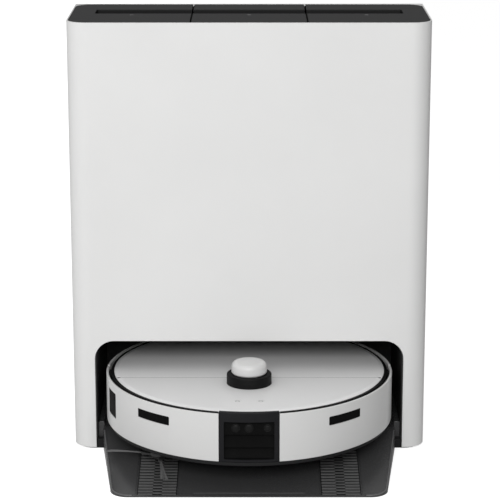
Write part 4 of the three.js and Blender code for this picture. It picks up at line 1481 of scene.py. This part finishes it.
def build_brush_frame():
    """The tunnel over the main brush and the guard frame round its opening."""
    dress("brush_housing", "graphite")
    frame_bar = carved(
        beam("Z", (36.6, 37.8), (-84, 84), (-70, -20), 4), slab((-78.5, 78.5), (-65, -25), (30, 40))
    )
    robot_piece("brush_guard", frame_bar, "graphite", bevel=0.3)


def build_mops():
    """Mop pads: a crowned microfibre pad on its backing plate."""
    for side, word in SIDES:
        x, y, z = span(f"mop_pad_{word}")
        at = (MOP_X * side, MOP_Y)
        low = z[0]
        pad = turned(
            [
                (0, low + 0.4), (20, low + 0.1), (50, low), (57, low + 0.6), (59.6, low + 2.4),
                (59.2, low + 4.6), (56, low + 5.6), (0, low + 5.4),
            ],
            at,
            96,
        )
        for vert in pad.verts:
            reach = Vector((vert.co.x - at[0], vert.co.y - at[1]))
            turn = math.atan2(reach.y, reach.x)
            if vert.co.z < low + 2:
                vert.co.z += 0.5 * (reach.length / 60) * (0.5 + 0.5 * math.cos(12 * turn))
        cloth = robot_piece(
            f"mop_cloth_{word}", pad, "cloth", [f"mop_pad_{word}"], crease=70, body=f"mop_{word}"
        )
        plate = turned(
            softened(
                [
                    (0, low + 5.5), (55, low + 5.5, 0.5), (55, low + 8.6, 1.2), (5, low + 8.6, 1),
                    (4, 60, 0.8), (0, 60),
                ],
                4,
            ),
            at,
            72,
        )
        robot_piece(f"mop_plate_{word}", plate, "graphite", crease=40, body=f"mop_{word}")


def build_contacts():
    """Sprung charge pins in the bay."""
    for side in ("left", "right"):
        x, y, z = span(f"charge_contact_{side}")
        profile = softened(
            [
                (0, y[0]), (4.2, y[0], 2.2), (4.2, 176.3), (7.2, 176.3, 0.4), (7.2, y[1], 0.4),
                (0, y[1]),
            ],
            5,
        )
        pin = turned(profile, steps=40)
        swung(pin, -math.pi / 2, "X")
        node = f"charge_contact_{side}"
        piece(
            f"charge_pin_{side}",
            moved(pin, (middle(x), 0, middle(z))),
            "metal",
            [node],
            crease=50,
            body=node,
        )


def build_filter():
    """Pleated filter of the dust bin."""
    x, y, z = span("bin_filter")
    count = 40
    step = (x[1] - x[0] - 4) / count
    front = [(x[0] + 2 + i * step, y[0] + (0.6 if i % 2 else 2.6)) for i in range(count + 1)]
    back = [(u, v + 1.0) for u, v in reversed(front)]
    pleats = prism([(u, v) for u, v in front + back], "Z", grown(z, -2))
    rim = carved(beam("Z", z, x, y, 0.8), slab(grown(x, -2), grown(y, 1), grown(z, -2)))
    piece("filter_pleats", pleats, "paper", ["bin_filter"], crease=20, body="robot")
    piece("filter_frame", rim, "graphite", bevel=0.3, body="robot")


# ---- Stage -------------------------------------------------------------------------------


def build_floor():
    bm = bmesh.new()
    bmesh.ops.create_grid(bm, x_segments=1, y_segments=1, size=40)
    mesh = bpy.data.meshes.new("floor")
    bm.to_mesh(mesh)
    bm.free()
    floor = bpy.data.objects.new("floor", mesh)
    floor.location.z = -0.0002
    bpy.context.scene.collection.objects.link(floor)
    paint = Finish("floor", Roughness=0.9)
    across = paint.node("ShaderNodeSeparateXYZ", output=0, Vector=paint.place)
    paint.wear(Base_Color=paint.blended(across * 0.9 + 0.5, (0.9, 0.9, 0.9), (0.42, 0.42, 0.42)))
    seen = paint.node("ShaderNodeLightPath", output="Is Camera Ray")
    glow = paint.blended(seen, (0, 0, 0), (1, 1, 1))
    paint.wear(Specular_IOR_Level=0.1, Emission_Color=glow, Emission_Strength=0.75)
    mesh.materials.append(paint.material)


def build_sky():
    """A soft studio surround: bright above and to the left, dim to the right."""
    world = bpy.data.worlds.new("studio")
    bpy.context.scene.world = world
    world.use_nodes = True
    tree = world.node_tree
    background = tree.nodes["Background"]
    coords = tree.nodes.new("ShaderNodeTexCoord")
    parts = tree.nodes.new("ShaderNodeSeparateXYZ")
    tree.links.new(coords.outputs["Generated"], parts.inputs[0])
    x, y, z = (Wire(tree, socket) for socket in parts.outputs)
    glow = 0.24 - x * 0.22 - y * 0.17 + z * 0.48
    glow = glow.maths("MAXIMUM", glow, 0.14)
    seen = tree.nodes.new("ShaderNodeLightPath").outputs["Is Camera Ray"]
    ray = Wire(tree, seen)
    feed(tree, background.inputs["Strength"], glow * (1 - ray) + ray)
    background.inputs["Color"].default_value = (1, 1, 1, 1)


def area_light(name, place, aim, size, power):
    data = bpy.data.lights.new(name, "AREA")
    data.shape = "RECTANGLE"
    data.size, data.size_y = size
    data.energy = power
    lamp = bpy.data.objects.new(name, data)
    lamp.location = place
    lamp.rotation_euler = (Vector(aim) - Vector(place)).to_track_quat("-Z", "Y").to_euler()
    bpy.context.scene.collection.objects.link(lamp)


def build_camera(stage):
    data = bpy.data.cameras.new("camera")
    data.lens = stage.lens
    data.sensor_width = 36
    data.clip_end = 200
    camera = bpy.data.objects.new("camera", data)
    camera.location = (0.00105, FRONT * MM - stage.distance, stage.height)
    camera.rotation_euler = (math.pi / 2 - stage.tilt, 0, 0)
    bpy.context.scene.collection.objects.link(camera)
    bpy.context.scene.camera = camera


def build_stage(stage):
    build_floor()
    build_sky()
    area_light("key", (-0.2, -3.25, 1.85), (0, 0, 0.3), (2.4, 1.2), stage.key)
    build_camera(stage)
    bpy.context.scene.view_settings.view_transform = "Standard"
    bpy.context.scene.view_settings.look = "None"


# ---- Operators and panel -----------------------------------------------------------------


class VACUUM_OT_finishes(bpy.types.Operator):
    """Make the materials"""

    bl_idname = "vacuum.finishes"
    bl_label = "Finishes"

    def execute(self, context):
        make_finishes(context.scene.vacuum_colours)
        return {"FINISHED"}


class VACUUM_OT_stage(bpy.types.Operator):
    """Make floor, lights and camera"""

    bl_idname = "vacuum.stage"
    bl_label = "Stage"

    def execute(self, context):
        build_stage(context.scene.vacuum_stage)
        return {"FINISHED"}


class VACUUM_OT_shell(bpy.types.Operator):
    """Build the white shell and the rear panel"""

    bl_idname = "vacuum.shell"
    bl_label = "Outer Shell"

    def execute(self, context):
        build_shell(context.scene.vacuum_station)
        build_rear_panel()
        return {"FINISHED"}


class VACUUM_OT_lids(bpy.types.Operator):
    """Build the three top lids"""

    bl_idname = "vacuum.lids"
    bl_label = "Top Lids"

    def execute(self, context):
        build_lids(context.scene.vacuum_station)
        return {"FINISHED"}


class VACUUM_OT_bay(bpy.types.Operator):
    """Build the bay's lining, base, ramp, pads and wash tray"""

    bl_idname = "vacuum.bay"
    bl_label = "Bay and Ramp"

    def execute(self, context):
        build_liner(context.scene.vacuum_station)
        build_base(context.scene.vacuum_station)
        build_pads(context.scene.vacuum_station)
        build_wash_tray()
        build_contacts()
        return {"FINISHED"}


class VACUUM_OT_holds(bpy.types.Operator):
    """Build tanks, dust bag and the inner parts"""

    bl_idname = "vacuum.holds"
    bl_label = "Tanks and Inner Parts"

    def execute(self, context):
        build_tanks()
        build_dust_bag()
        build_filter()
        dress_inner_parts()
        return {"FINISHED"}


class VACUUM_OT_body(bpy.types.Operator):
    """Build the robot's chassis, skins, bezel and covers"""

    bl_idname = "vacuum.body"
    bl_label = "Robot Body"

    def execute(self, context):
        sizes = context.scene.vacuum_robot
        build_tub()
        build_skins(sizes)
        build_bezel(sizes)
        build_covers(sizes)
        build_turret(sizes)
        return {"FINISHED"}


class VACUUM_OT_gear(bpy.types.Operator):
    """Build wheels, caster, brushes and mops"""

    bl_idname = "vacuum.gear"
    bl_label = "Running Gear"

    def execute(self, context):
        build_wheels()
        build_caster()
        build_brush_frame()
        build_brushes(context.scene.vacuum_robot)
        build_mops()
        return {"FINISHED"}


STEPS = (
    VACUUM_OT_finishes,
    VACUUM_OT_stage,
    VACUUM_OT_shell,
    VACUUM_OT_lids,
    VACUUM_OT_bay,
    VACUUM_OT_holds,
    VACUUM_OT_body,
    VACUUM_OT_gear,
)


class VACUUM_PT_panel(bpy.types.Panel):
    """Lists the build steps"""

    bl_idname = "VACUUM_PT_panel"
    bl_label = "Robot Vacuum"
    bl_space_type = "VIEW_3D"
    bl_region_type = "UI"
    bl_category = "Vacuum"

    def draw(self, context):
        for step in STEPS:
            self.layout.operator(step.bl_idname)


GROUPS = {
    "vacuum_station": StationSizes,
    "vacuum_robot": RobotSizes,
    "vacuum_colours": FinishColours,
    "vacuum_stage": StageSettings,
}


def register():
    for group in GROUPS.values():
        bpy.utils.register_class(group)
    for name, group in GROUPS.items():
        setattr(bpy.types.Scene, name, PointerProperty(type=group))
    for step in (*STEPS, VACUUM_PT_panel):
        bpy.utils.register_class(step)


def unregister():
    for step in reversed((*STEPS, VACUUM_PT_panel)):
        bpy.utils.unregister_class(step)
    for name in GROUPS:
        delattr(bpy.types.Scene, name)
    for group in reversed(GROUPS.values()):
        bpy.utils.unregister_class(group)


def main():
    register()
    for step in STEPS:
        area, name = step.bl_idname.split(".")
        getattr(getattr(bpy.ops, area), name)()


if __name__ == "__main__":
    main()
